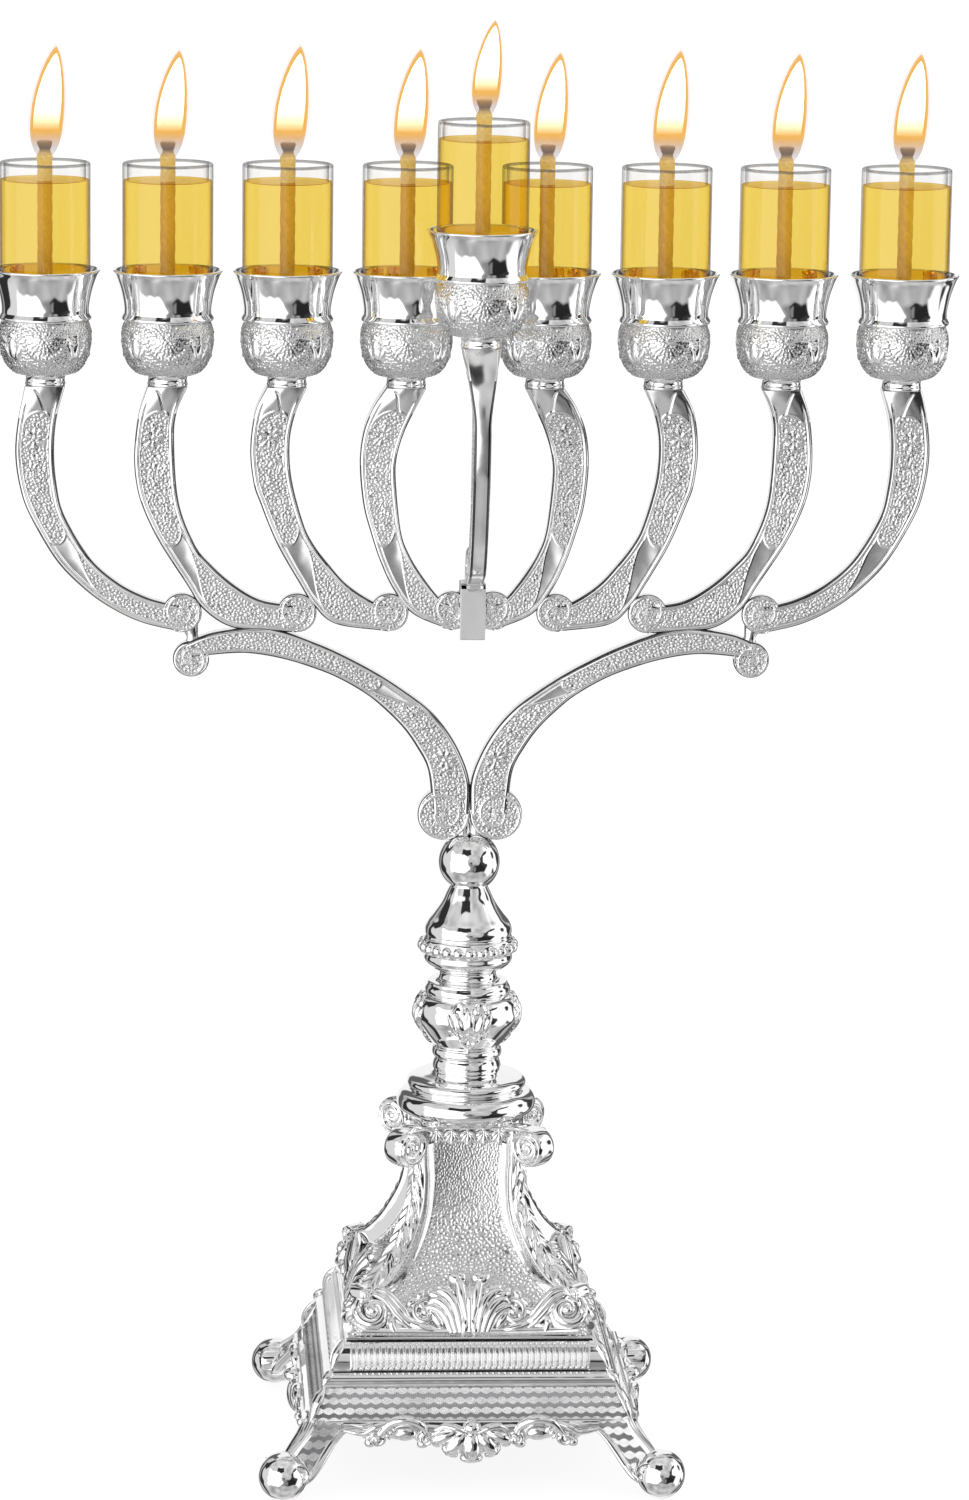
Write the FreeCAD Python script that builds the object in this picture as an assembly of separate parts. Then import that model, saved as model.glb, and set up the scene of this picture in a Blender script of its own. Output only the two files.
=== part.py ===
import FreeCAD, Part
import math
import os

# A silver-plated oil menorah: eight lights in one row and a raised ninth light,
# the shamash, on a lift-off arm in front.  Millimetres.  X runs along the row of
# lights, the front faces -Y, +Z is up, and the origin is under the middle of the
# base at the level of the feet.

V = FreeCAD.Vector
UP = V(0, 0, 1)
os.makedirs("parts", exist_ok=True)

# ---- driving dimensions -------------------------------------------------------
CUP_X = (18.3, 49.7, 81.0, 113.0)      # cup centres from the middle, inner to outer
COLLAR_Z = 289.6                       # underside of the row's candle cups
SHAMASH_Y = -24.0                      # shamash cup, in front of the row
SHAMASH_RISE = 13.5                    # shamash cup above the row
ARM_THICK = 4.4                        # arm castings, front to back
BRANCH_THICK = 5.0                     # main branches, front to back
FOOT_XY = 50.1                         # ball feet from the middle, both ways
FOOT_R = 6.5
FOOT_FLAT = 0.25                       # height cut off each ball to stand on
ROD_R = 2.0
ROD_CLEAR = 0.1                        # all round the rod in the stem pieces
WALL = 2.0                             # sheet and casting thickness of the base
GLASS_R = 11.9
GLASS_WALL = 1.2
GLASS_TOP = 58.5                       # glass rim above the collar's underside
GLASS_FLOOR = 3.0
OIL_TOP = 53.8
WICK_R = 2.0
WICK_TOP = 64.0
CUP_FIT = 0.25                         # gap between a glass and its cup
OIL_GAP = 0.04                         # gap between oil and glass or wick
SEAT_Z = 24.4                          # floor of the cup above its underside
CLIP_GAP = 0.3                         # shamash clip to the arms behind it
CLIP_WIDTH = 6.8
CLIP_SHEET = 1.2
BRIDGE_Z = 235.9                       # underside of the saddle, just over the scrolls
BRIDGE_THICK = 1.6
STUD_R = 1.5                           # stud that screws a cup to its arm
STUD_LENGTH = 6.0
STUD_CLEAR = 0.05
ORNAMENT_LEAN = 30.0                   # degrees, about as the pedestal's foot slopes
BRACKET_WIDTH = 7.6
VOLUTE_WIDTH = 6.2

# Base levels.
PLATE_Z = 17.5
PLINTH_Z = 19.0
PEDESTAL_Z = 38.9
CAPITAL_Z = 91.5
VASE_Z = 103.9
COLLAR_RING_Z = 129.2
CONE_Z = 141.2
BALL_Z = 161.6
BALL_R = 8.3

# Arm outlines in the XZ plane.  The first number of each pair is measured
# outward from the arm's own cup, the second is the height above the feet.
# Each arm runs from its cup down to a scroll, given as (outward, height, radius).
ARM_OUTLINES = {
    1: {
        "outer": ((5.3, 289.6), (8.8, 284), (11.2, 277.5), (12.0, 269), (11.0, 258.5),
                  (9.0, 251), (6.3, 243), (2.7, 235.5), (-2.6, 229), (-12.9, 224.6)),
        "inner": ((-5.2, 289.6), (-2.4, 284), (0.4, 277.6), (2.2, 271), (2.4, 264.7),
                  (1.0, 251.6), (-1.3, 245), (-5.2, 238.7), (-9.8, 233.0)),
        "scroll": (-12.9, 230.0, 5.4),
    },
    2: {
        "outer": ((5.3, 289.6), (8.3, 283), (9.5, 273), (8.6, 264), (6.8, 258.6),
                  (2.3, 247.7), (-3.7, 237.2), (-7.6, 231.4), (-13.5, 227), (-27.2, 225.1)),
        "inner": ((-5.2, 289.6), (-2.4, 283), (-0.9, 275), (-1.5, 265), (-4.6, 253.3),
                  (-7.3, 247.7), (-11.2, 242.5), (-16.2, 237), (-23.0, 232.5)),
        "scroll": (-27.6, 230.0, 4.9),
    },
    3: {
        "outer": ((5.3, 289.6), (7.6, 282), (8.7, 272), (8.2, 264), (6.3, 257),
                  (2.0, 248), (-5.2, 236.8), (-9.2, 231.0), (-15.5, 226.8), (-34.8, 225.3)),
        "inner": ((-5.2, 289.6), (-2.5, 283), (-1.8, 275), (-3.0, 259), (-7.2, 247.6),
                  (-11.5, 242.2), (-17.5, 236.9), (-24, 233), (-30.6, 232.0)),
        "scroll": (-34.4, 229.9, 4.6),
    },
    4: {
        "outer": ((5.3, 289.6), (7.2, 280), (7.9, 271.5), (6.8, 263), (4.3, 255.5),
                  (-2.2, 244), (-8.5, 237), (-15.8, 231.7), (-25, 227.4), (-36.0, 225.0)),
        "inner": ((-5.2, 289.6), (-3.0, 281), (-2.3, 272), (-3.0, 263), (-5.0, 255),
                  (-11.5, 244), (-18.8, 237.4), (-26, 233.6), (-32.0, 232.0)),
        "scroll": (-36.0, 229.6, 5.0),
    },
}

# The right-hand main branch, from its outer scroll to the volute on the stem.
BRANCH_TOP = ((74.0, 221.6), (69.0, 223.6), (57.0, 225.0), (50.0, 223.4), (42.0, 221.0),
              (35.1, 218.4), (26.2, 213.7), (18.7, 208.9), (11.7, 203.6), (6.3, 197.4),
              (2.4, 190.5), (0.0, 183.5))
BRANCH_LOW = ((72.0, 217.0), (64.0, 218.4), (58.0, 218.3), (51.0, 217.1), (44.0, 215.1),
              (36.0, 212.0), (28.0, 207.4), (22.7, 203.0), (18.1, 198.3), (14.5, 193.2),
              (11.5, 187.4), (10.4, 180.0))
BRANCH_END = (74.6, 216.9, 4.8)
BRANCH_VOLUTE = (7.0, 174.8, 7.1)

# Pedestal: (height, half width of its square plan).  Its sides are hollowed
# inward by HOLLOW times the half width.
PEDESTAL_LEVELS = ((38.9, 32.5), (44.0, 29.5), (48.5, 25.6), (53.0, 21.2), (58.0, 17.5),
                   (66.0, 13.8), (76.0, 12.2), (91.5, 12.2))
HOLLOW = 0.06
# Plinth: (height, half width), from the bottom edge up to the ribbed step.
PLINTH_LEVELS = ((19.0, 42.4), (26.6, 38.6), (26.6, 39.2), (29.6, 38.9), (30.5, 37.2),
                 (34.5, 36.0), (37.2, 33.2), (38.9, 33.2))


def box(x0, x1, y0, y1, z0, z1):
    return Part.makeBox(x1 - x0, y1 - y0, z1 - z0, V(x0, y0, z0))


def mirror_x(shape):
    return shape.mirror(V(0, 0, 0), V(1, 0, 0))


def turned(points, segments=()):
    """A solid of revolution about Z.  points are (radius, height); an index in
    segments makes the stretch that starts there a smooth curve through the
    following points up to the paired index."""
    smooth = dict(segments)
    edges = []
    index = 0
    while index < len(points) - 1:
        stop = smooth.get(index, index + 1)
        run = [V(r, 0, z) for r, z in points[index:stop + 1]]
        if len(run) > 2:
            curve = Part.BSplineCurve()
            curve.interpolate(run)
            edges.append(curve.toShape())
        else:
            edges.append(Part.makeLine(run[0], run[1]))
        index = stop
    first = V(points[0][0], 0, points[0][1])
    last = V(points[-1][0], 0, points[-1][1])
    edges.append(Part.makeLine(last, first))
    face = Part.Face(Part.Wire(edges))
    return face.revolve(V(0, 0, 0), UP, 360)


def curve_edge(points):
    curve = Part.BSplineCurve()
    curve.interpolate([V(x, 0, z) for x, z in points])
    return curve.toShape()


def slab(edges, thickness):
    """Extrude a closed outline in the XZ plane evenly to both sides of y = 0."""
    face = Part.Face(Part.Wire(Part.__sortEdges__(edges)))
    solid = face.extrude(V(0, thickness, 0))
    solid.translate(V(0, -thickness / 2, 0))
    return solid


def disc_y(x, z, radius, thickness):
    return Part.makeCylinder(radius, thickness, V(x, -thickness / 2, z), V(0, 1, 0))


def rod_hole(z0, z1):
    return Part.makeCylinder(ROD_R + ROD_CLEAR, z1 - z0, V(0, 0, z0))


# ---- candle cups and lights ---------------------------------------------------
def seat_profile(gap):
    """The rounded foot of a glass as (radius, height), grown outward by gap."""
    foot = 9.4
    rise = 3.8
    start = SEAT_Z + 0.2 - gap * 0.8
    reach = GLASS_R - foot
    points = []
    for step in range(5):
        angle = math.radians(90.0 * step / 4)
        points.append((foot + gap + reach * math.sin(angle), start + rise * (1 - math.cos(angle))))
    return points


def candle_cup():
    """Flared cup over a round bulb, with a threaded stud under its collar."""
    seat = seat_profile(CUP_FIT)
    outer = [(5.45, 0.0), (5.45, 2.5), (6.2, 3.0), (9.4, 5.6), (11.7, 9.4), (12.3, 12.8),
             (11.7, 15.8), (11.2, 17.2), (12.1, 17.5), (12.1, 18.3), (11.5, 19.2),
             (11.5, 22.8), (12.3, 26.6), (13.4, 29.0), (14.5, 30.2), (14.4, 30.6),
             (13.9, 30.5)]
    inner = [(12.7, 29.2)] + list(reversed(seat))
    points = [(0.0, 0.0)] + outer + inner + [(0.0, seat[0][1])]
    cup = turned(points, ((3, 8), (11, 15)))
    stud = Part.makeCylinder(STUD_R, STUD_LENGTH, V(0, 0, -STUD_LENGTH))
    return cup.fuse(stud)


def glass():
    outer = seat_profile(0.0)
    inside = GLASS_R - GLASS_WALL
    floor = outer[0][1] + GLASS_FLOOR
    points = [(0.0, outer[0][1])] + outer
    points += [(GLASS_R, GLASS_TOP - 0.3), (GLASS_R - 0.3, GLASS_TOP)]
    points += [(inside + 0.3, GLASS_TOP), (inside, GLASS_TOP - 0.3)]
    points += [(inside, floor + 1.5), (inside - 1.5, floor), (0.0, floor)]
    return turned(points)


def oil():
    radius = GLASS_R - GLASS_WALL - OIL_GAP
    floor = SEAT_Z + 0.2 + GLASS_FLOOR + OIL_GAP
    points = [(WICK_R + OIL_GAP, floor + 1.2), (3.6, floor + 1.2), (3.6, floor)]
    points += [(radius - 1.5, floor), (radius, floor + 1.5), (radius, OIL_TOP)]
    points += [(WICK_R + OIL_GAP, OIL_TOP)]
    return turned(points)


def wick():
    """Wick column on a small weighted foot, with a thin charred tip."""
    floor = SEAT_Z + 0.2 + GLASS_FLOOR + OIL_GAP
    points = [(0.0, floor), (3.5, floor), (3.5, floor + 1.1), (WICK_R, floor + 1.1)]
    points += [(WICK_R, OIL_TOP + 7.6), (1.7, OIL_TOP + 8.2), (1.5, WICK_TOP), (0.0, WICK_TOP)]
    return turned(points)


# ---- arms and branches --------------------------------------------------------
def arm_blank(number):
    """One arm of the row about its own cup: positive X is outward."""
    outline = ARM_OUTLINES[number]
    outer = outline["outer"]
    inner = outline["inner"]
    sx, sz, sr = outline["scroll"]
    edges = [curve_edge(outer), curve_edge(inner)]
    edges.append(Part.makeLine(V(inner[0][0], 0, inner[0][1]), V(outer[0][0], 0, outer[0][1])))
    edges.append(Part.makeLine(V(outer[-1][0], 0, outer[-1][1]), V(sx, 0, sz)))
    edges.append(Part.makeLine(V(sx, 0, sz), V(inner[-1][0], 0, inner[-1][1])))
    body = slab(edges, ARM_THICK).fuse(disc_y(sx, sz, sr, ARM_THICK))
    head_low_x = (outer[1][0] + inner[1][0]) / 2
    top = Part.Wire(Part.makeCircle(5.3, V(0, 0, COLLAR_Z), UP))
    low = Part.Wire(Part.makeCircle(2.4, V(head_low_x, 0, COLLAR_Z - 8.0), UP))
    head = Part.makeLoft([top, low], True)
    depth = STUD_LENGTH + 0.3
    socket = Part.makeCylinder(STUD_R + STUD_CLEAR, depth, V(0, 0, COLLAR_Z - depth))
    return body.fuse(head).cut(socket).removeSplitter()


def main_branch():
    """The right-hand branch, from its outer scroll down to the stem."""
    ex, ez, er = BRANCH_END
    vx, vz, vr = BRANCH_VOLUTE
    edges = [curve_edge(BRANCH_TOP), curve_edge(BRANCH_LOW)]
    edges.append(Part.makeLine(V(*xz(BRANCH_TOP[0])), V(*xz(BRANCH_LOW[0]))))
    edges.append(Part.makeLine(V(*xz(BRANCH_TOP[-1])), V(0, 0, vz)))
    edges.append(Part.makeLine(V(0, 0, vz), V(*xz(BRANCH_LOW[-1]))))
    body = slab(edges, BRANCH_THICK)
    body = body.fuse(disc_y(ex, ez, er, BRANCH_THICK))
    body = body.fuse(disc_y(vx, vz, vr, BRANCH_THICK))
    web = box(72.2, 76.4, -1.6, 1.6, 219.0, 226.5)
    foot = box(0.0, 3.6, -BRANCH_THICK / 2, BRANCH_THICK / 2, 166.0, 174.0)
    body = body.fuse(web).fuse(foot)
    return body.common(box(0.0, 200.0, -20, 20, 160, 260))


def xz(point):
    return (point[0], 0.0, point[1])


def row_castings():
    """Right-hand arms and main branch in place, each trimmed where it is
    soldered to its neighbour, inner arm first."""
    arms = []
    for number in range(1, 5):
        arm = arm_blank(number)
        arm.translate(V(CUP_X[number - 1], 0, 0))
        arm = arm.common(box(0.0, 200.0, -20, 20, 200, 300))
        if arms:
            arm = arm.cut(arms[-1])
        arms.append(arm)
    branch = main_branch().cut(Part.makeSphere(BALL_R, V(0, 0, BALL_Z)))
    for arm in arms:
        branch = branch.cut(arm)
    return arms, largest(branch)


def largest(shape):
    return max(shape.Solids, key=lambda solid: solid.Volume)


def shamash_arm():
    """The front arm: the innermost row arm's casting turned to face forward,
    on a bent saddle that hooks over the two middle scrolls."""
    arm = arm_blank(1)
    arm.rotate(V(0, 0, 0), UP, -90)
    arm.translate(V(0, SHAMASH_Y, SHAMASH_RISE))
    # Only the casting above the saddle is kept; the saddle carries its scroll.
    arm = arm.common(box(-20, 20, -80, 5.0, BRIDGE_Z + BRIDGE_THICK / 2, 320))
    half = CLIP_WIDTH / 2
    front = ARM_THICK / 2 + CLIP_GAP
    depth = front + CLIP_SHEET
    top = BRIDGE_Z + BRIDGE_THICK
    saddle = box(-half, half, -depth, depth, BRIDGE_Z, top)
    plate = box(-half, half, -depth, -front, 222.4, top)
    back = box(-half, half, front, depth, 224.5, top)
    stalk = box(-ARM_THICK / 2, ARM_THICK / 2, -12.0, depth, BRIDGE_Z + BRIDGE_THICK / 2, 241.0)
    return arm.fuse(saddle).fuse(plate).fuse(back).fuse(stalk).removeSplitter()


# ---- stem ---------------------------------------------------------------------
def bored(points, segments, z0, z1):
    return turned(points, segments).cut(rod_hole(z0 - 1, z1 + 1))


def capital():
    z = CAPITAL_Z
    points = [(0, z), (16.5, z), (18.3, z + 1.2), (18.8, z + 3.6), (18.2, z + 6.6),
              (16.2, z + 8.2), (15.9, z + 9.0), (16.0, z + 10.6), (13.5, z + 12.0),
              (9.5, z + 12.4), (0, z + 12.4)]
    return bored(points, ((1, 5), (6, 9)), z, VASE_Z)


def vase_knop():
    z = VASE_Z
    points = [(0, z), (8.4, z), (9.3, z + 1.8), (8.6, z + 4.2), (9.4, z + 4.6), (9.4, z + 6.8),
              (8.8, z + 7.2), (11.2, z + 10.5), (13.9, z + 15.6), (13.4, z + 19.4),
              (11.2, z + 21.6), (11.5, z + 22.2), (11.5, z + 23.8), (10.6, z + 25.3),
              (0, z + 25.3)]
    return bored(points, ((1, 3), (6, 10)), z, COLLAR_RING_Z)


def beaded_collar():
    z = COLLAR_RING_Z
    points = [(0, z), (8.4, z), (7.7, z + 1.4), (7.8, z + 4.0), (10.6, z + 6.6),
              (12.4, z + 7.4), (13.2, z + 9.6), (12.4, z + 11.6), (11.6, z + 12.0), (0, z + 12.0)]
    return bored(points, ((1, 4), (5, 7)), z, CONE_Z)


def stem_ball():
    """Flared cone carrying the ball that the branches stand on."""
    z = CONE_Z
    points = [(0, z), (11.2, z), (11.8, z + 2.0), (11.2, z + 4.4), (8.2, z + 8.0),
              (6.0, z + 11.4), (4.9, z + 14.6), (0, z + 14.6)]
    cone = turned(points, ((1, 3), (3, 6)))
    ball = Part.makeSphere(BALL_R, V(0, 0, BALL_Z))
    hole = rod_hole(z - 1, BALL_Z + 4.6)
    return cone.fuse(ball).cut(hole)


# ---- base ---------------------------------------------------------------------
def square_wire(half, z, hollow=0.0):
    """A square outline whose sides are arcs drawn in by hollow at the middle."""
    corners = [V(-half, -half, z), V(half, -half, z), V(half, half, z), V(-half, half, z)]
    edges = []
    for start, end in zip(corners, corners[1:] + corners[:1]):
        middle = (start + end) * 0.5
        if hollow > 0:
            inward = V(-middle.x, -middle.y, 0).normalize()
            edges.append(Part.Arc(start, middle + inward * hollow, end).toShape())
        else:
            edges.append(Part.makeLine(start, end))
    return Part.Wire(edges)


def pedestal_solid(inset=0.0):
    wires = []
    for z, half in PEDESTAL_LEVELS:
        wires.append(square_wire(half - inset, z, HOLLOW * half))
    return Part.makeLoft(wires, True, False)


def pedestal():
    inside = pedestal_solid(WALL).common(box(-60, 60, -60, 60, 0, CAPITAL_Z - WALL))
    return pedestal_solid().cut(inside).cut(rod_hole(CAPITAL_Z - 10, CAPITAL_Z + 1))


def plinth_solid(inset=0.0):
    solid = None
    for (z0, a0), (z1, a1) in zip(PLINTH_LEVELS, PLINTH_LEVELS[1:]):
        if z1 - z0 < 0.01:
            continue
        wires = [square_wire(a0 - inset, z0), square_wire(a1 - inset, z1)]
        step = Part.makeLoft(wires, True, True)
        solid = step if solid is None else solid.fuse(step)
    return solid


def apron_plate():
    """Front apron: a plate whose lower edge is a row of scallops with a
    five-lobed shell in the middle."""
    plate = box(-35.5, 35.5, -44.2, -41.6, 16.0, PLINTH_Z)
    scallops = ((0.0, 14.2, 5.4), (-6.0, 14.6, 4.2), (6.0, 14.6, 4.2), (-10.5, 15.4, 3.2),
                (10.5, 15.4, 3.2), (-18.5, 15.0, 4.6), (18.5, 15.0, 4.6), (-25.5, 15.2, 3.2),
                (25.5, 15.2, 3.2))
    for x, z, radius in scallops:
        plate = plate.fuse(Part.makeCylinder(radius, 2.6, V(x, -44.2, z), V(0, 1, 0)))
    return plate.common(box(-60, 60, -60, 60, 0, PLINTH_Z))


def plinth():
    top = PEDESTAL_Z - WALL
    inside = plinth_solid(WALL).common(box(-60, 60, -60, 60, 0, top))
    shell = plinth_solid().cut(inside).cut(rod_hole(top - 1, PEDESTAL_Z + 1))
    for turn in range(4):
        plate = apron_plate()
        plate.rotate(V(0, 0, 0), UP, 90 * turn)
        shell = shell.fuse(plate)
    return shell.removeSplitter()


def around(make):
    """Four copies of a solid, a quarter turn apart."""
    copies = []
    for turn in range(4):
        solid = make.copy()
        solid.rotate(V(0, 0, 0), UP, 90 * turn)
        copies.append(solid)
    return copies


def foot_ball():
    ball = Part.makeSphere(FOOT_R, V(FOOT_XY, FOOT_XY, FOOT_R - FOOT_FLAT))
    return ball.common(box(0, 100, 0, 100, 0, 50))


def corner_leg():
    """S-shaped leg from the plinth's corner out to its ball."""
    levels = ((PLINTH_Z, 39.0, 4.2), (14.5, 40.8, 3.9), (10.5, 43.6, 3.3), (7.0, 47.0, 2.5))
    wires = []
    for z, centre, half in levels:
        wire = square_wire(half, z)
        wire.translate(V(centre, centre, 0))
        wires.append(wire)
    leg = Part.makeLoft(wires, True, False)
    leg = leg.cut(Part.makeSphere(FOOT_R, V(FOOT_XY, FOOT_XY, FOOT_R - FOOT_FLAT)))
    for plate in around(apron_plate()):
        leg = leg.cut(plate)
    return largest(leg)


def corner_bracket():
    """Scroll bracket in the diagonal plane: an S-shaped acanthus strip under a
    rolled volute.  Drawn as (distance from the axis, height)."""
    outer = ((21.5, 83.5), (19.9, 77.0), (20.6, 71.0), (23.0, 65.5), (27.8, 58.5),
             (33.0, 53.6), (39.0, 49.6), (42.0, 47.4))
    inner = ((15.0, 86.0), (15.0, 76.0), (17.0, 66.0), (22.0, 58.0), (30.0, 50.5), (39.0, 45.5))
    edges = [curve_edge(outer), curve_edge(inner)]
    edges.append(Part.makeLine(V(*xz(outer[0])), V(*xz(inner[0]))))
    edges.append(Part.makeLine(V(*xz(outer[-1])), V(*xz(inner[-1]))))
    strip = slab(edges, BRACKET_WIDTH)
    bracket = strip.fuse(disc_y(24.2, 87.0, 5.4, VOLUTE_WIDTH))
    neck = box(15.5, 24.0, -VOLUTE_WIDTH / 2, VOLUTE_WIDTH / 2, 84.0, 91.0)
    bracket = bracket.fuse(neck)
    bracket.rotate(V(0, 0, 0), UP, 45)
    keep_out = Part.makeCylinder(19.0, 20.0, V(0, 0, CAPITAL_Z))
    bracket = bracket.cut(keep_out).cut(pedestal_solid())
    return largest(bracket)


def face_ornament(brackets):
    """Rococo ornament at the foot of one pedestal face: a centre fan between
    leafy volutes, leaning back with the face."""
    thickness = 3.0
    base = box(-29.0, 29.0, -thickness / 2, thickness / 2, 0.0, 3.0)
    for x, z, radius in ((0.0, 9.0, 5.0), (0.0, 12.5, 4.0), (-11.5, 7.2, 4.4), (11.5, 7.2, 4.4),
                         (-19.0, 4.0, 4.0), (19.0, 4.0, 4.0), (-26.0, 5.6, 5.6), (26.0, 5.6, 5.6)):
        base = base.fuse(disc_y(x, z, radius, thickness))
    base.rotate(V(0, 0, 0), V(1, 0, 0), -ORNAMENT_LEAN)
    base.translate(V(0, -31.4, PEDESTAL_Z))
    base = base.common(box(-60, 60, -60, 60, PEDESTAL_Z, 90)).cut(pedestal_solid())
    for bracket in brackets:
        base = base.cut(bracket)
    return largest(base)


def bottom_plate():
    """Thin plate drawn up against the plinth, cut off at the corners."""
    half = 41.4
    plate = box(-half, half, -half, half, PLATE_Z, PLINTH_Z)
    diamond = box(-48, 48, -48, 48, PLATE_Z, PLINTH_Z)
    diamond.rotate(V(0, 0, 0), UP, 45)
    return plate.common(diamond).cut(rod_hole(PLATE_Z - 1, PLINTH_Z + 1))


def rod_nut():
    """Hexagon nut and washer under the bottom plate."""
    washer = Part.makeCylinder(5.0, 0.8, V(0, 0, PLATE_Z - 0.8)).cut(rod_hole(0, 60))
    corners = [V(4.04 * math.cos(math.radians(a)), 4.04 * math.sin(math.radians(a)), 0)
               for a in range(0, 361, 60)]
    nut = Part.Face(Part.makePolygon(corners)).extrude(V(0, 0, 3.2))
    nut.translate(V(0, 0, PLATE_Z - 4.0))
    return [nut.cut(Part.makeCylinder(ROD_R, 60)), washer]


def tie_rod():
    return Part.makeCylinder(ROD_R, BALL_Z + 4.0 - 12.8, V(0, 0, 12.8))


# ---- assembly -----------------------------------------------------------------
def write(name, solids):
    shape = solids[0] if len(solids) == 1 else Part.makeCompound(solids)
    for solid in shape.Solids:
        if not solid.isValid() or solid.Volume <= 0:
            raise RuntimeError("bad solid in " + name)
    print(name, len(shape.Solids), "solid(s)", round(shape.Volume, 1), "mm3")
    shape.exportStep(os.path.join("parts", name + ".step"))


def placed(shape, x, y, z):
    copy = shape.copy()
    copy.translate(V(x, y, z))
    return copy


def light_places():
    """Name and place of every light, left to right, and the shamash last."""
    places = []
    row = [-x for x in reversed(CUP_X)] + list(CUP_X)
    for index, x in enumerate(row):
        places.append((str(index + 1), x, 0.0, COLLAR_Z))
    places.append(("shamash", 0.0, SHAMASH_Y, COLLAR_Z + SHAMASH_RISE))
    return places


def main():
    cup_shape = candle_cup()
    glass_shape = glass()
    oil_shape = oil()
    wick_shape = wick()
    for name, x, y, z in light_places():
        write("candle_cup_" + name, [placed(cup_shape, x, y, z)])
        write("glass_" + name, [placed(glass_shape, x, y, z)])
        write("oil_" + name, [placed(oil_shape, x, y, z)])
        write("wick_" + name, [placed(wick_shape, x, y, z)])
    arms, branch = row_castings()
    for number, arm in enumerate(arms):
        write("arm_" + str(5 + number), [arm])
        write("arm_" + str(4 - number), [mirror_x(arm)])
    write("main_branch_right", [branch])
    write("main_branch_left", [mirror_x(branch)])
    write("shamash_arm", [shamash_arm()])
    write("stem_ball", [stem_ball()])
    write("beaded_collar", [beaded_collar()])
    write("vase_knop", [vase_knop()])
    write("capital", [capital()])
    write("pedestal", [pedestal()])
    brackets = around(corner_bracket())
    write("corner_scrolls", brackets)
    write("base_ornaments", around(face_ornament(brackets)))
    write("plinth", [plinth()])
    write("corner_legs", around(corner_leg()))
    write("ball_feet", around(foot_ball()))
    write("bottom_plate", [bottom_plate()])
    write("tie_rod", [tie_rod()])
    write("rod_nut", rod_nut())


main()
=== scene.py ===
import itertools
import math

import bpy
import numpy as np
from mathutils import Matrix, Vector


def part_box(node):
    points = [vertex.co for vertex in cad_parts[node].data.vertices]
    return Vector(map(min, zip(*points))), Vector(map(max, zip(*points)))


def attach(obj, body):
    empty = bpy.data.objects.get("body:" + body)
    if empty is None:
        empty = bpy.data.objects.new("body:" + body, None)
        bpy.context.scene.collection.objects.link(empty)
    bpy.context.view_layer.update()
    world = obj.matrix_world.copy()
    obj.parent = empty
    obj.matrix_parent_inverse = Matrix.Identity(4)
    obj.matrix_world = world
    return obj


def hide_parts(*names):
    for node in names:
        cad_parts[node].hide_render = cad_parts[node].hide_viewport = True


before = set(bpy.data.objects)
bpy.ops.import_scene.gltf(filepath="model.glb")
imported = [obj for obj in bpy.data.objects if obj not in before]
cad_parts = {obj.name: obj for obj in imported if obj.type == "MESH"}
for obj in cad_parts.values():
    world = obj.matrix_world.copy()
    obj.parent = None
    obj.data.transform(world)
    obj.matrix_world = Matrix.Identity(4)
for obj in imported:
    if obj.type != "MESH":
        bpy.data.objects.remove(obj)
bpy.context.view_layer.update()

# A silver-plated oil menorah.  All shapes below are worked out in millimetres in
# the frame's own axes (X along the row of lights, -Y to the front, +Z up) and
# turned into metres when a mesh is made.

MM = 0.001
CAMERA_AT = (-86.4, -1432.0, 478.7)
CAMERA_LOOKS_AT = (3.8, 0.0, 192.0)
CAMERA_ROLL = math.radians(0.79)
FOCAL_IN_FRAME_HEIGHTS = 5476.0 / 1500.0
SENSOR_HEIGHT = 24.0


# ---- numbers read from the frame -------------------------------------------------
def node_mm(node):
    """Lowest and highest corner of a CAD node, in millimetres."""
    low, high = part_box(node)
    return np.array(low) / MM, np.array(high) / MM


def middle_mm(node):
    return sum(node_mm(node)) / 2


# ---- mesh building ---------------------------------------------------------------
def smoothstep(edge0, edge1, x):
    t = np.clip((x - edge0) / (edge1 - edge0), 0.0, 1.0)
    return t * t * (3 - 2 * t)


def rounding(t):
    """Height of a rounded edge, 0 at the edge and 1 from t = 1 inward."""
    return np.sqrt(np.clip(1 - (1 - np.clip(t, 0, 1)) ** 2, 0, 1))


def bump_line(distance, width):
    """A rounded ridge, 1 on the line and 0 beyond width to either side."""
    t = np.clip(np.abs(distance) / width, 0.0, 1.0)
    return (1 - t * t) ** 1.5


def length_along(path):
    """Distance from the start at each point of a path."""
    return np.concatenate([[0], np.cumsum(np.linalg.norm(np.diff(path, axis=0), axis=1))])


def spline(points, count):
    """Catmull-Rom curve through the points, sampled evenly by length."""
    pts = np.asarray(points, float)
    padded = np.vstack([2 * pts[0] - pts[1], pts, 2 * pts[-1] - pts[-2]])
    fine = []
    for k in range(len(padded) - 3):
        a, b, c, d = padded[k:k + 4]
        t = np.linspace(0, 1, 24, endpoint=False)[:, None]
        fine.append(0.5 * (2 * b + (c - a) * t + (2 * a - 5 * b + 4 * c - d) * t ** 2
                           + (3 * b - a - 3 * c + d) * t ** 3))
    fine = np.vstack(fine + [padded[-2:-1]])
    run = length_along(fine)
    at = np.linspace(0, run[-1], count)
    return np.stack([np.interp(at, run, fine[:, k]) for k in range(fine.shape[1])], -1)


def normals(outline):
    """Unit normals of a flat outline, to the right of the way it runs."""
    steps = np.gradient(outline, axis=0)
    size = np.maximum(np.hypot(steps[:, 0], steps[:, 1]), 1e-9)
    return np.stack([steps[:, 1] / size, -steps[:, 0] / size], -1)


def turned(degrees):
    """Cosine and sine of an angle in degrees."""
    return math.cos(math.radians(degrees)), math.sin(math.radians(degrees))


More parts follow.
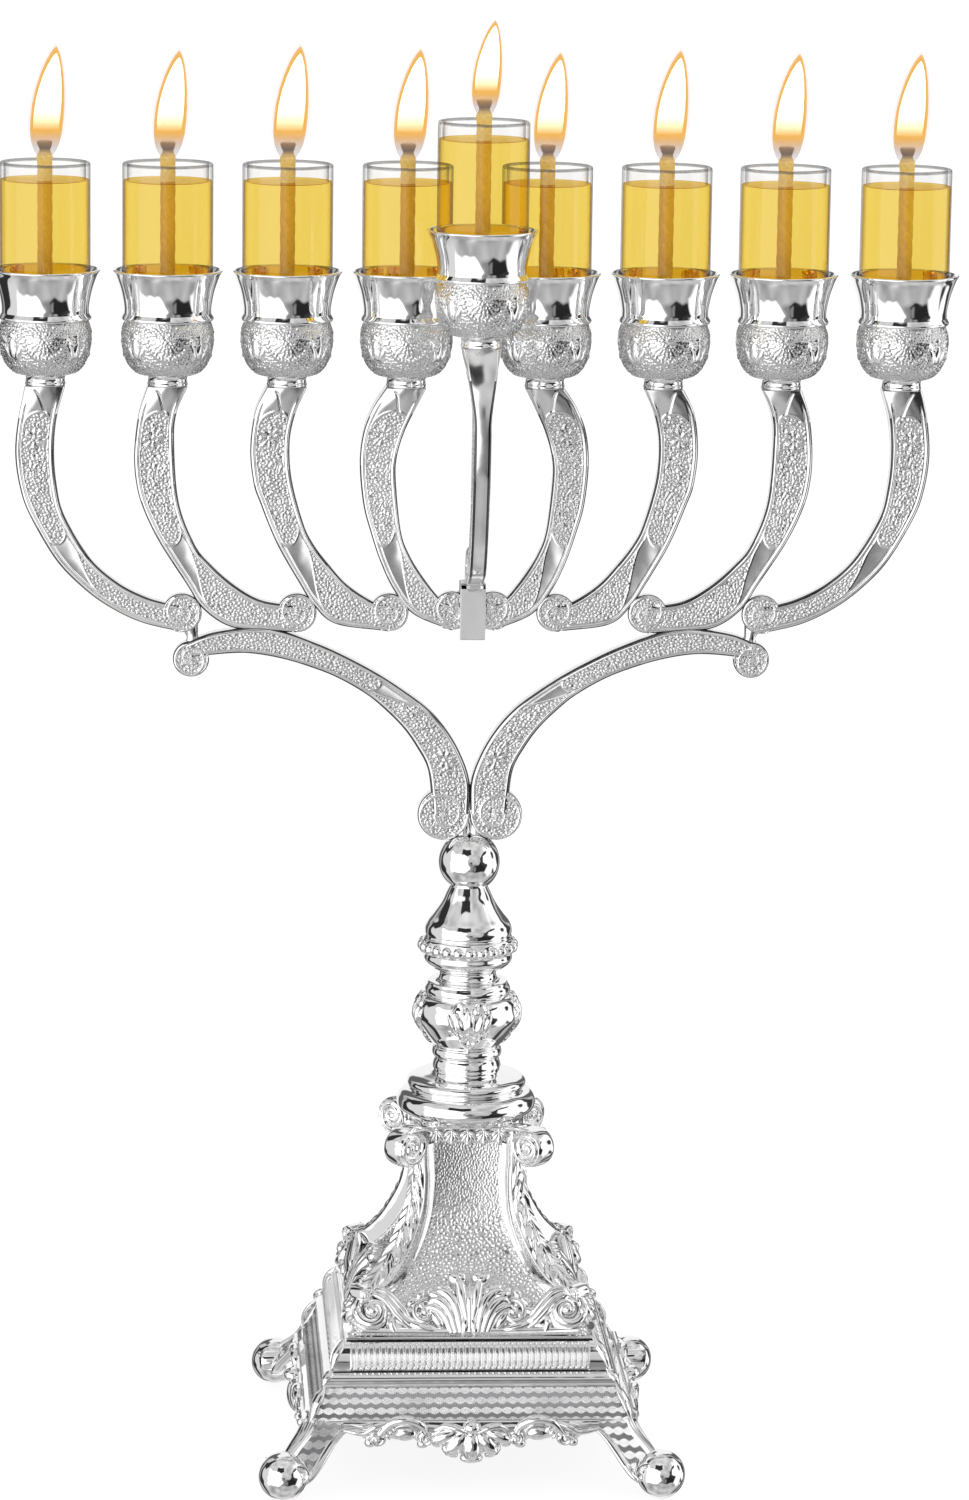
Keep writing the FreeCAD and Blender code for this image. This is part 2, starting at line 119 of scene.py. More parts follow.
class Mesh:
    """Collects vertices and faces in millimetres, with a material index per face."""

    def __init__(self):
        self.points = []
        self.faces = []
        self.slots = []
        self.uvs = []
        self.count = 0

    def add(self, points, faces, slot=0, uv=None):
        points = np.asarray(points, float).reshape(-1, 3)
        self.points.append(points)
        self.uvs.append(np.zeros((len(points), 2)) if uv is None else np.asarray(uv).reshape(-1, 2))
        for face in faces:
            self.faces.append([index + self.count for index in face])
        self.slots.extend([slot] * len(faces))
        self.count += len(points)

    def grid(self, grid, wrap_v=False, slot=0, uv=None, flip=False):
        """A net of quads over grid[u, v]; slot may be an array with one value for each
        point, and a quad takes that of its first corner."""
        grid = np.asarray(grid, float)
        nu, nv = grid.shape[:2]
        uu, vv = np.meshgrid(np.arange(nu - 1), np.arange(nv if wrap_v else nv - 1), indexing="ij")
        a = uu * nv + vv
        b = a + nv
        c = (uu + 1) * nv + (vv + 1) % nv
        d = uu * nv + (vv + 1) % nv
        quads = np.stack([a, d, c, b] if flip else [a, b, c, d], -1).reshape(-1, 4) + self.count
        self.points.append(grid.reshape(-1, 3))
        flat_uv = np.zeros((nu * nv, 2)) if uv is None else np.asarray(uv, float).reshape(-1, 2)
        self.uvs.append(flat_uv)
        self.faces.extend(quads.tolist())
        slots = np.broadcast_to(slot, (nu, nv))[uu, vv]
        self.slots.extend(slots.ravel().tolist())
        self.count += nu * nv

    def fan(self, ring, centre, slot=0, flip=False):
        """Close a ring of points with triangles to a centre point."""
        ring = np.asarray(ring, float)
        n = len(ring)
        faces = [[k, (k + 1) % n, n] for k in range(n)]
        if flip:
            faces = [face[::-1] for face in faces]
        self.add(np.vstack([ring, centre]), faces, slot)

    def take(self, other, slot=None):
        """Add all of another mesh, in its own slots or all in one."""
        self.points.extend(other.points)
        self.uvs.extend(other.uvs)
        self.faces.extend([[i + self.count for i in face] for face in other.faces])
        self.slots.extend(other.slots if slot is None else [slot] * len(other.slots))
        self.count += other.count

    def changed(self, matrix, offset=(0, 0, 0)):
        """A copy turned or mirrored by a 3 by 3 matrix and then moved."""
        twin = Mesh()
        twin.take(self)
        twin.points = [points @ np.asarray(matrix, float).T + np.asarray(offset) for points in self.points]
        if np.linalg.det(matrix) < 0:
            twin.faces = [face[::-1] for face in twin.faces]
        return twin

    def moved(self, offset=(0, 0, 0), turn_deg=0.0):
        """A copy turned about Z and then moved."""
        c, s = turned(turn_deg)
        return self.changed([[c, -s, 0], [s, c, 0], [0, 0, 1]], offset)

    def mirrored(self):
        """The mirror image in the YZ plane."""
        return self.changed(np.diag([-1, 1, 1]))

    def quarters(self):
        """A mesh for the front or one corner, repeated a quarter turn apart."""
        whole = Mesh()
        for k in range(4):
            whole.take(self.moved(turn_deg=90 * k))
        return whole

    def data(self, name):
        """The Blender mesh, in metres."""
        mesh = bpy.data.meshes.new(name)
        points = np.vstack(self.points) * MM
        mesh.from_pydata(points.tolist(), [], self.faces)
        mesh.polygons.foreach_set("material_index", self.slots)
        mesh.polygons.foreach_set("use_smooth", [True] * len(mesh.polygons))
        layer = mesh.uv_layers.new(name="pattern")
        loops = np.empty(len(mesh.loops), dtype=np.int32)
        mesh.loops.foreach_get("vertex_index", loops)
        layer.data.foreach_set("uv", (np.vstack(self.uvs)[loops]).ravel())
        mesh.validate()
        mesh.update()
        return mesh


def place(mesh_data, name, body, materials, replaces=(), matrix=None):
    """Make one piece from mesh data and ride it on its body."""
    piece = bpy.data.objects.new(name, mesh_data)
    bpy.context.collection.objects.link(piece)
    if not mesh_data.materials:
        for material in materials:
            mesh_data.materials.append(material)
    if matrix is not None:
        piece.matrix_world = matrix
    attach(piece, body)
    if replaces:
        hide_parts(*replaces)
    return piece


# ---- surface patterns ------------------------------------------------------------
def jitter(i, j, seed):
    """Two repeatable pseudo-random numbers in 0..1 for each whole-number cell."""
    h = np.sin(i * 127.1 + j * 311.7 + seed * 74.7) * 43758.5453
    g = np.sin(i * 269.5 + j * 183.3 + seed * 38.1) * 28001.8384
    return h - np.floor(h), g - np.floor(g)


def pebbles(x, y, pitch, seed=0.0):
    """Close-packed rounded grains of about the pitch across; 0 between, 1 on top."""
    px, py = (0.83 * x - 0.56 * y) / pitch, (0.56 * x + 0.83 * y) / pitch
    cx, cy = np.floor(px), np.floor(py)
    near = np.full(np.shape(px), 9.0)
    second = np.full(np.shape(px), 9.0)
    for di in (-1, 0, 1):
        for dj in (-1, 0, 1):
            jx, jy = jitter(cx + di, cy + dj, seed)
            d = np.hypot(px - cx - di - jx, py - cy - dj - jy)
            second = np.minimum(second, np.maximum(near, d))
            near = np.minimum(near, d)
    return smoothstep(0.0, 0.6, second - near)


# ---- materials -------------------------------------------------------------------
class Finish:
    """A material in the making, with short ways to add nodes.  A value given to a
    node is a number or colour for its socket, or the output to link to it."""

    def __init__(self, name):
        self.material = bpy.data.materials.new(name)
        self.material.use_nodes = True
        self.tree = self.material.node_tree
        self.tree.nodes.clear()

    def node(self, kind, values=None, **settings):
        node = self.tree.nodes.new("ShaderNode" + kind)
        for name, value in settings.items():
            setattr(node, name, value)
        for key, value in (values or {}).items():
            if isinstance(value, bpy.types.NodeSocket):
                self.tree.links.new(value, node.inputs[key])
            else:
                node.inputs[key].default_value = value
        return node

    def here(self):
        """The place on the object."""
        return self.node("TexCoord").outputs["Object"]

    def noise(self, scale, detail, at=None):
        values = {"Vector": at or self.here(), "Scale": scale, "Detail": detail}
        return self.node("TexNoise", values).outputs["Fac"]

    def ramp(self, source, low, high, to_low=0.0, to_high=1.0):
        values = {"Value": source, "From Min": low, "From Max": high, "To Min": to_low, "To Max": to_high}
        return self.node("MapRange", values).outputs["Result"]

    def maths(self, kind, first, second=None):
        values = {0: first} if second is None else {0: first, 1: second}
        return self.node("Math", values, operation=kind).outputs[0]

    def blend(self, share, *ends):
        """A colour between two; a plain one is given as three numbers."""
        first, second = [(*end, 1.0) if isinstance(end, tuple) else end for end in ends]
        return self.node("Mix", {0: share, 6: first, 7: second}, data_type="RGBA").outputs[2]

    def between(self, share, first, second):
        """A number between two."""
        return self.node("Mix", {0: share, 2: first, 3: second}).outputs[0]

    def shaders(self, share, first, second):
        """A shader between two."""
        return self.node("MixShader", {0: share, 1: first, 2: second}).outputs[0]

    def pattern(self):
        """The two coordinates that a mesh carries for its pattern."""
        where = self.node("UVMap", uv_map="pattern").outputs["UV"]
        return self.node("SeparateXYZ", {"Vector": where}).outputs[:2]

    def facing(self, low, high, to_low=0.0, to_high=1.0):
        """A number that changes towards the edge of a round piece."""
        weight = self.node("LayerWeight", {"Blend": 0.5})
        return self.ramp(weight.outputs["Facing"], low, high, to_low, to_high)

    def show(self, shader):
        """Put a shader on the surface; the material is then ready."""
        self.node("OutputMaterial", {"Surface": shader})
        return self.material

    def solid(self, metallic, colour, rough, height, depth_mm):
        """Show an opaque surface with a fine relief."""
        normal = self.node("Bump", {"Strength": 1.0, "Distance": depth_mm * MM, "Height": height})
        values = {"Metallic": metallic, "Base Color": colour, "Roughness": rough, "Normal": normal.outputs[0]}
        return self.show(self.node("BsdfPrincipled", values).outputs["BSDF"])

    def coated(self, clear, low, high):
        """A clear shader under a mirror coat that strengthens towards grazing angles."""
        polish = self.ramp(self.noise(120.0, 3.0), 0.4, 0.8, 0.01, 0.05)
        gloss = self.node("BsdfGlossy", {"Roughness": polish}).outputs[0]
        return self.shaders(self.facing(0.45, 1.0, low, high), clear.outputs[0], gloss)


def polished_silver(name="polished_silver", dark=0.90, light=0.985, rough=0.03):
    """Silver plate: faint waviness of the casting and light handling marks."""
    make = Finish(name)
    colour = make.blend(make.noise(90.0, 4.0), (dark,) * 3, (light,) * 3)
    worn = make.ramp(make.noise(420.0, 3.0), 0.35, 0.75, rough, rough + 0.07)
    return make.solid(1.0, colour, worn, make.noise(160.0, 1.0), 0.10)


def grained_silver(name, grain_mm, depth_mm, rough, dark=0.78, light=0.95):
    """Silver plate with a fine granular ground between and on the embossing."""
    make = Finish(name)
    cells = make.node("TexVoronoi", {"Vector": make.here(), "Scale": 1.0 / (grain_mm * MM)},
                      feature="SMOOTH_F1")
    tarnish = make.noise(140.0, 5.0)
    colour = make.blend(tarnish, (dark,) * 3, (light,) * 3)
    worn = make.ramp(tarnish, 0.3, 0.7, rough, rough + 0.08)
    return make.solid(1.0, colour, worn, cells.outputs["Distance"], depth_mm)


def engine_turned():
    """Silver plate with chains of hexagons, each hatched its own way, painted light on a dark ground: painted
    sheen and shade for how the hatching catches the light.  The pattern's coordinates are millimetres."""
    make = Finish("engine_turned_silver")
    u, v = make.pattern()

    def wave(kind, source, pitch):
        return make.maths(kind, make.maths("MULTIPLY", source, 2 * math.pi / pitch))

    stars = make.maths("MULTIPLY", wave("COSINE", u, 2.8), wave("COSINE", v, 5.4))
    chain = make.maths("ADD", wave("COSINE", v, 2.7), make.maths("MULTIPLY", stars, 0.9))
    # painted sheen and shade: the chains are painted near-white and the ground dark grey, standing in for how
    # the differently hatched silver reflects
    light = make.ramp(chain, -0.40, -0.10)
    slanting = wave("SINE", make.maths("ADD", u, make.maths("MULTIPLY", v, 1.6)), 0.62)
    hatch = make.between(light, wave("SINE", u, 0.5), slanting)
    return make.solid(1.0, make.blend(light, (0.30, 0.30, 0.31), (0.99,) * 3), 0.16, hatch, 0.05)


# The renderer follows light through 8 clear walls and then stops it, so that a row of
# glasses seen end-on would go black.  Past this many, a wall glows a painted white in place of the room's
# white.
LAST_WALL = 6.5


def clear_glass(name="clear_glass", middle=0.985, edge=0.42, low=0.035, high=0.45):
    """Clear glass with painted shade at its edges: its see-through colour greys towards grazing angles."""
    make = Finish(name)
    # painted shade: greyer see-through colour where the wall turns away, standing in for the dark edges that
    # refraction shows
    tone = make.blend(make.facing(0.62, 1.0), (middle,) * 3, (edge, edge, edge * 1.02))
    glass = make.coated(make.node("BsdfTransparent", {"Color": tone}), low, high)
    walls = make.node("LightPath").outputs["Transparent Depth"]
    # painted light: a plain white glow that stands in for the room seen through the glass
    painted_white_glow = make.node("Emission", {"Color": (0.86, 0.87, 0.88, 1)}).outputs[0]
    return make.show(make.shaders(make.maths("GREATER_THAN", walls, LAST_WALL), glass, painted_white_glow))


def lamp_oil():
    """Golden oil.  Light crosses its surface twice, so each pass takes half of the
    colour; it isn't bent, because the oil is already drawn as wide as it looks."""
    make = Finish("lamp_oil")
    body = make.blend(make.noise(60.0, 1.0), (0.925, 0.785, 0.325), (0.940, 0.810, 0.360))
    # painted shade: the oil's colour deepens to a darker gold towards its edges, standing in for the darker
    # edges of an oil column bent by its glass
    tone = make.blend(make.facing(0.55, 1.0), body, (0.72, 0.50, 0.14))
    clear = make.node("BsdfRefraction", {"Color": tone, "IOR": 1.0, "Roughness": 0.0})
    return make.show(make.coated(clear, 0.01, 0.10))


def wick_cotton():
    """Twisted wick: oil-soaked gold below, charred black at the tip.  The
    pattern's second coordinate is the height above the foot in millimetres."""
    make = Finish("wick_cotton")
    weave = make.noise(1800.0, 2.0)
    cloth = make.blend(weave, (0.62, 0.40, 0.09), (0.95, 0.72, 0.24))
    burnt = make.blend(make.ramp(make.pattern()[1], 33.2, 34.4), cloth, (0.035, 0.03, 0.03))
    return make.solid(0.0, burnt, 0.7, weave, 0.15)


def plain_steel():
    """Zinc-plated steel with drawn streaks."""
    make = Finish("plain_steel")
    streaks = make.noise(500.0, 3.0)
    colour = make.blend(streaks, (0.42, 0.42, 0.43), (0.62, 0.62, 0.63))
    return make.solid(1.0, colour, make.ramp(streaks, 0.3, 0.7, 0.28, 0.45), streaks, 0.03)


def flame(name, colour_low, colour_high, strength, cover_low, cover_high, rise=(0.05, 0.42)):
    """A glowing shell: colour and cover change from the foot to the tip, along
    the pattern's second coordinate, which runs from 0 to 1.  Rise is where along
    it the cover changes from low to high."""
    make = Finish(name)
    along = make.pattern()[1]
    colour = make.blend(make.ramp(along, 0.06, 0.24), colour_low, colour_high)
    glow = make.node("Emission", {"Color": colour, "Strength": strength}).outputs[0]
    clear = make.node("BsdfTransparent").outputs[0]
    return make.show(make.shaders(make.ramp(along, *rise, cover_low, cover_high), clear, glow))


# ---- turned pieces ---------------------------------------------------------------
def lathe(mesh, profile, segments, slot=0, relief=None, centre=(0.0, 0.0), cap_low=False,
          cap_high=False):
    """Turn (radius, height) points about Z.  relief(angle, length) moves the surface
    along its own normal; length is measured along the profile in millimetres."""
    profile = np.asarray(profile, float)
    normal = normals(profile)
    angle = np.linspace(0, 2 * math.pi, segments, endpoint=False)
    ang, run = np.meshgrid(angle, length_along(profile))
    lift = 0 if relief is None else relief(ang, run)
    radius = profile[:, 0:1] + lift * normal[:, 0:1]
    height = profile[:, 1:2] + lift * normal[:, 1:2]
    grid = np.stack([centre[0] + radius * np.cos(ang), centre[1] + radius * np.sin(ang),
                     height + 0 * ang], -1)
    uv = np.stack([ang * profile[:, 0].mean(), run], -1)
    mesh.grid(grid, wrap_v=True, slot=slot, uv=uv, flip=True)
    if cap_low:
        mesh.fan(grid[0], [centre[0], centre[1], grid[0, :, 2].mean()], slot, flip=True)
    if cap_high:
        mesh.fan(grid[-1], [centre[0], centre[1], grid[-1, :, 2].mean()], slot)


def ellipsoid(mesh, centre, radii, slot=0, rows=10, columns=16, tilt=None):
    """A bead or lobe; tilt is a 3 by 3 matrix whose columns are its own axes."""
    up = np.linspace(-math.pi / 2, math.pi / 2, rows)[:, None]
    around = np.linspace(0, 2 * math.pi, columns, endpoint=False)[None, :]
    unit = np.stack([np.cos(up) * np.cos(around), np.cos(up) * np.sin(around),
                     np.sin(up) + 0 * around], -1)
    local = unit * np.asarray(radii)
    if tilt is not None:
        local = local @ np.asarray(tilt).T
    mesh.grid(local + np.asarray(centre), wrap_v=True, slot=slot, flip=True)


def frames_along(path, up_hint):
    """Tangent, side and up vectors at each point of a path."""
    tangent = np.gradient(path, axis=0)
    tangent /= np.maximum(np.linalg.norm(tangent, axis=1, keepdims=True), 1e-9)
    hint = np.broadcast_to(np.asarray(up_hint, float), tangent.shape)
    side = np.cross(tangent, hint)
    side /= np.maximum(np.linalg.norm(side, axis=1, keepdims=True), 1e-9)
    return tangent, side, np.cross(side, tangent)


def ribbon(mesh, path, widths, heights, up_hint, slot=0, sides=12, power=1.0):
    """A tapering rounded rib along a path: widths to the side, heights towards
    up_hint.  power below 1 squares its section off, above 1 makes it a crest."""
    path = np.asarray(path, float)
    n = len(path)
    widths = np.interp(np.linspace(0, 1, n), np.linspace(0, 1, len(widths)), widths)
    heights = np.interp(np.linspace(0, 1, n), np.linspace(0, 1, len(heights)), heights)
    tangent, side, up = frames_along(path, up_hint)
    turn = np.linspace(0, 2 * math.pi, sides, endpoint=False)
    across = np.cos(turn)
    rise = np.sign(np.sin(turn)) * np.abs(np.sin(turn)) ** power
    grid = (path[:, None] + side[:, None] * (across[None, :, None] * widths[:, None, None])
            + up[:, None] * (rise[None, :, None] * heights[:, None, None]))
    mesh.grid(grid, wrap_v=True, slot=slot)
    mesh.fan(grid[0], path[0], slot)
    mesh.fan(grid[-1], path[-1], slot, flip=True)


def spiral(centre, start_radius, end_radius, start_deg, turn_deg, count):
    """Points of a flat spiral as (x, z), from outside to inside."""
    t = np.linspace(0, 1, count)
    angle = np.radians(start_deg + turn_deg * t)
    radius = start_radius + (end_radius - start_radius) * t ** 0.85
    return np.stack([centre[0] + radius * np.cos(angle), centre[1] + radius * np.sin(angle)], -1)


# ---- arms and branches -----------------------------------------------------------
# Outlines of the castings: (outward from the cup, height).  They follow the CAD,
# apart from the lower ends of arms 2 to 4, which rest on the branch below them.
ARM_SHAPES = {
    1: {
        "outer": ((5.3, 289.6), (8.8, 284), (11.2, 277.5), (12.0, 269), (11.0, 258.5),
                  (9.0, 251), (6.3, 243), (2.7, 235.5), (-2.6, 229), (-12.9, 224.6)),
        "inner": ((-5.2, 289.6), (-2.4, 284), (0.4, 277.6), (2.2, 271), (2.4, 264.7),
                  (1.0, 251.6), (-1.3, 245), (-5.2, 238.7), (-9.8, 233.0), (-12.9, 231.6)),
        "scroll": (-12.9, 230.0, 5.2),
    },
    2: {
        "outer": ((5.3, 289.6), (8.3, 283), (9.5, 273), (8.6, 264), (6.8, 258.6),
                  (2.3, 247.7), (-3.7, 237.2), (-7.6, 231.2), (-13.5, 226.3), (-27.2, 224.4)),
        "inner": ((-5.2, 289.6), (-2.4, 283), (-0.9, 275), (-1.5, 265), (-4.6, 253.3),
                  (-7.3, 247.7), (-11.2, 242.5), (-16.2, 237), (-23.0, 232.5), (-27.2, 231.6)),
        "scroll": (-27.6, 229.5, 5.1),
    },
    3: {
        "outer": ((5.3, 289.6), (7.6, 282), (8.7, 272), (8.2, 264), (6.3, 257),
                  (2.0, 248), (-5.2, 236.8), (-9.2, 230.6), (-15.5, 226.0), (-23.0, 224.5), (-34.4, 224.1)),
        "inner": ((-5.2, 289.6), (-2.5, 283), (-1.8, 275), (-3.0, 259), (-7.2, 247.6),
                  (-11.5, 242.2), (-17.5, 236.9), (-24, 233), (-30.6, 231.6), (-34.4, 231.4)),
        "scroll": (-34.4, 229.3, 5.2),
    },
    4: {
        "outer": ((5.3, 289.6), (7.2, 280), (7.9, 271.5), (6.8, 263), (4.3, 255.5),
                  (-2.2, 244), (-8.5, 237), (-15.8, 231.3), (-25, 226.7), (-36.0, 224.0)),
        "inner": ((-5.2, 289.6), (-3.0, 281), (-2.3, 272), (-3.0, 263), (-5.0, 255),
                  (-11.5, 244), (-18.8, 237.4), (-26, 233.6), (-32.0, 231.8), (-36.0, 231.2)),
        "scroll": (-36.0, 229.2, 5.2),
    },
}
STUD_LENGTH = 6.0                  # stud under a cup, which its CAD node includes
ARM_THICK = 4.4
BRANCH_THICK = 5.0
HEAD_THICK = 10.4
HEAD_LENGTH = 20.0                 # over which an arm's head thins to the arm
HEAD_ROUNDNESS = 0.62
CURL_EXTRA = 0.08                  # a scroll stands this much thicker than its strip
COLLAR_LEVEL = 289.6               # underside of the cups in the outlines below
GROUND = 0.45                      # depth of the pebbled panels
GRAIN = 0.42                       # height of the pebbles
PEBBLE = 0.92                      # pitch of the pebbles
PETALS = 8
# painted shade: the dark line along an arm's edge stands in for the dark reflection on its bevel
PAINTED_EDGE_SHADE_WIDTH = 0.45                   # width of the dark line along an edge
POLISHED, PEBBLED, SHADED, SATIN = 0, 1, 2, 3      # material slots of an arm


def capsule(a, b, start, end, half):
    """Distance inside a round-ended panel that runs from start to end; half is its
    half width, which may change along it."""
    nearest = np.clip(a, start + half, end - half)
    return half - np.hypot(b, a - nearest)


def flower(a, b, at, radius):
    """Height of a small open flower at a point (along, across)."""
    r = np.hypot(a - at[0], b - at[1])
    turn = np.arctan2(b - at[1], a - at[0])
    petal = np.abs(np.cos(turn * PETALS / 2)) ** 0.8
    shape = smoothstep(0.0, 0.35, radius * (0.62 + 0.38 * petal) - r)
    vein = 0.35 + 0.65 * petal
    heart = smoothstep(0.85, 0.45, r)
    return np.maximum(0.5 * shape * vein * smoothstep(0.5, 1.2, r), 0.6 * heart)


def leaf(a, b, at, long, wide, turn_deg):
    """Height of an outlined leaf: a raised edge line and a vein."""
    c, s = turned(turn_deg)
    u = ((a - at[0]) * c + (b - at[1]) * s) / long
    v = (-(a - at[0]) * s + (b - at[1]) * c) / wide
    body = 1 - np.hypot(u, v * (1 + 0.45 * u))
    edge = bump_line(body * min(long, wide), 0.32)
    vein = bump_line(v * wide, 0.22) * smoothstep(0.05, 0.25, body)
    return np.maximum(0.48 * edge, 0.3 * vein)


def vine(a, b, start, end, swing, flip=1.0):
    """Height of a waving stem with a leaf in each bend."""
    span = end - start
    phase = (a - start) / span
    centre = swing * flip * np.sin(2 * math.pi * phase)
    stem = bump_line(b - centre, 0.34) * smoothstep(start, start + 1, a) * smoothstep(end, end - 1, a)
    height = 0.45 * stem
    height = np.maximum(height, leaf(a, b, (start + 0.30 * span, -swing * 0.55 * flip), 2.6, 1.5, 25 * flip))
    height = np.maximum(height, leaf(a, b, (start + 0.70 * span, swing * 0.75 * flip), 3.0, 1.5, -20 * flip))
    return np.maximum(height, leaf(a, b, (start + 0.98 * span, -swing * 0.3 * flip), 1.9, 1.0, 20 * flip))


def edge_rims(b, half, first, a):
    """Two fine raised lines along the edges, fading in after the head."""
    gap = half - np.abs(b)
    fade = smoothstep(first, first + 5, a)
    return (0.12 * bump_line(gap - 0.85, 0.40) - 0.30 * bump_line(gap - 1.45, 0.36)) * fade


def panelled(a, b, half, x, z, first, inside, opens, smooth, rim_start, drawing):
    """Relief with a first panel, a smooth gap and a second panel that opens from the
    lower edge.  smooth is the gap's depth and where it begins and is deepest;
    drawing(second) is what is embossed on the pebbled ground.  The second result says
    where the ground is pebbled."""
    dip, gap_start, gap_end = smooth
    upper = inside * (2 * smoothstep(*opens, a) - 1)
    second = np.minimum(np.minimum(b + inside, upper - b), a - opens[0] + 1.0)
    panel = np.maximum(first, second)
    sunk = smoothstep(0.0, 0.4, panel)
    height = edge_rims(b, half, rim_start, a) + 0.12 * bump_line(panel + 0.1, 0.35)
    hollow = dip * (1 - (b / np.maximum(half, 0.1)) ** 2)
    height -= hollow * smoothstep(gap_start, gap_end, a) * (1 - sunk)
    height += sunk * (-GROUND + np.maximum(GRAIN * pebbles(x, z, PEBBLE), drawing(second)))
    return height, panel > 0.12


def arm_relief(a, b, half, x, z, total):
    """Relief of an arm: leaf line at the head, flowered panel, smooth gap, then a
    pebbled panel that grows from the inner edge and runs into the scroll."""
    inside = half - 1.6
    first = capsule(a, b, 7.0, 43.0, inside)

    def drawing(second):
        drawn = np.maximum(flower(a, b, (14.0, 0.2), 3.1), 0.8 * vine(a, b, 18.0, 37.0, 1.4))
        drawn = np.maximum(drawn, 0.8 * leaf(a, b, (9.8, -1.0), 2.0, 1.2, 60))
        return drawn * smoothstep(0.2, 0.7, first)

    height, sunk = panelled(a, b, half, x, z, first, inside, (46.0, 62.0), (0.22, 40, 48), 3.0, drawing)
    line = 2.6 - 4.6 * np.clip((a - 0.8) / 7.0, 0, 1) ** 0.75
    cut = 0.34 * bump_line(b - line, 0.34) * smoothstep(0.4, 1.2, a) * smoothstep(8.6, 7.4, a)
    return height - cut, sunk


def branch_relief(a, b, half, x, z, total):
    """Relief of a main branch, from its outer scroll to the stem: a long pebbled
    panel, a smooth gap, then a panel with vine and flower."""
    inside = half - 1.25

    def drawing(second):
        drawn = np.maximum(0.8 * vine(a, b, 61.0, 82.0, 1.4, -1.0), flower(a, b, (total - 15.0, 0.4), 3.0))
        return drawn * smoothstep(0.2, 0.7, second)

    return panelled(a, b, half, x, z, capsule(a, b, -20.0, 53.0, inside), inside, (52.0, 66.0),
                    (0.2, 50, 54), -9.0, drawing)


def strip(mesh, inner, outer, thick, relief, steps, round_to=0.0, columns=60):
    """A flat casting between two edge lines in the XZ plane, with the same relief
    front and back.  Its first round_to millimetres swell to a round head."""
    low = spline(inner, steps)
    high = spline(outer, steps)
    middle = (low + high) / 2
    half = np.linalg.norm(high - low, axis=1) / 2
    run = length_along(middle)
    edge = np.sin(np.linspace(-math.pi / 2, math.pi / 2, columns))
    across = 0.45 * edge + 0.55 * np.linspace(-1, 1, columns)
    a = np.repeat(run[:, None], columns, axis=1)
    b = half[:, None] * across[None, :]
    spot = middle[:, None] + (high - low)[:, None] / 2 * across[None, :, None]
    height, sunk = relief(a, b, half[:, None], spot[..., 0], spot[..., 1], run[-1])
    if round_to > 0:
        swell = 1 - smoothstep(-0.3 * round_to, round_to, run)
        body = thick + (HEAD_THICK - thick) * swell / swell[0]
        roundness = HEAD_ROUNDNESS * (swell / swell[0]) ** 0.8
    else:
        body = np.full(steps, thick)
        roundness = np.zeros(steps)
    section = np.sqrt(1 - (roundness[:, None] * across[None, :]) ** 2)
    gap = half[:, None] - np.abs(b)
    bevel = 0.75 * (1 - rounding(gap / 0.8))
    face = body[:, None] / 2 * section + height - bevel * (1 - roundness[:, None])
    front = np.stack([spot[..., 0], -face, spot[..., 1]], -1)
    back = np.stack([spot[..., 0], face, spot[..., 1]], -1)[:, ::-1]
    ring = np.concatenate([front, back], axis=1)
    # painted shade: the outer bevel takes the near-black edge material, standing in for the dark reflection
    # along the edge
    shaded = (gap < PAINTED_EDGE_SHADE_WIDTH) & (run[:, None] > 0.4 * round_to)
    kind = np.where(shaded, SHADED, np.where(sunk, PEBBLED, POLISHED))
    kind = np.concatenate([kind, kind[:, ::-1]], axis=1)
    kind[:, [columns - 1, 2 * columns - 1]] = POLISHED
    mesh.grid(ring, wrap_v=True, slot=kind)
    mesh.fan(ring[0], ring[0].mean(axis=0))
    mesh.fan(ring[-1], ring[-1].mean(axis=0), flip=True)


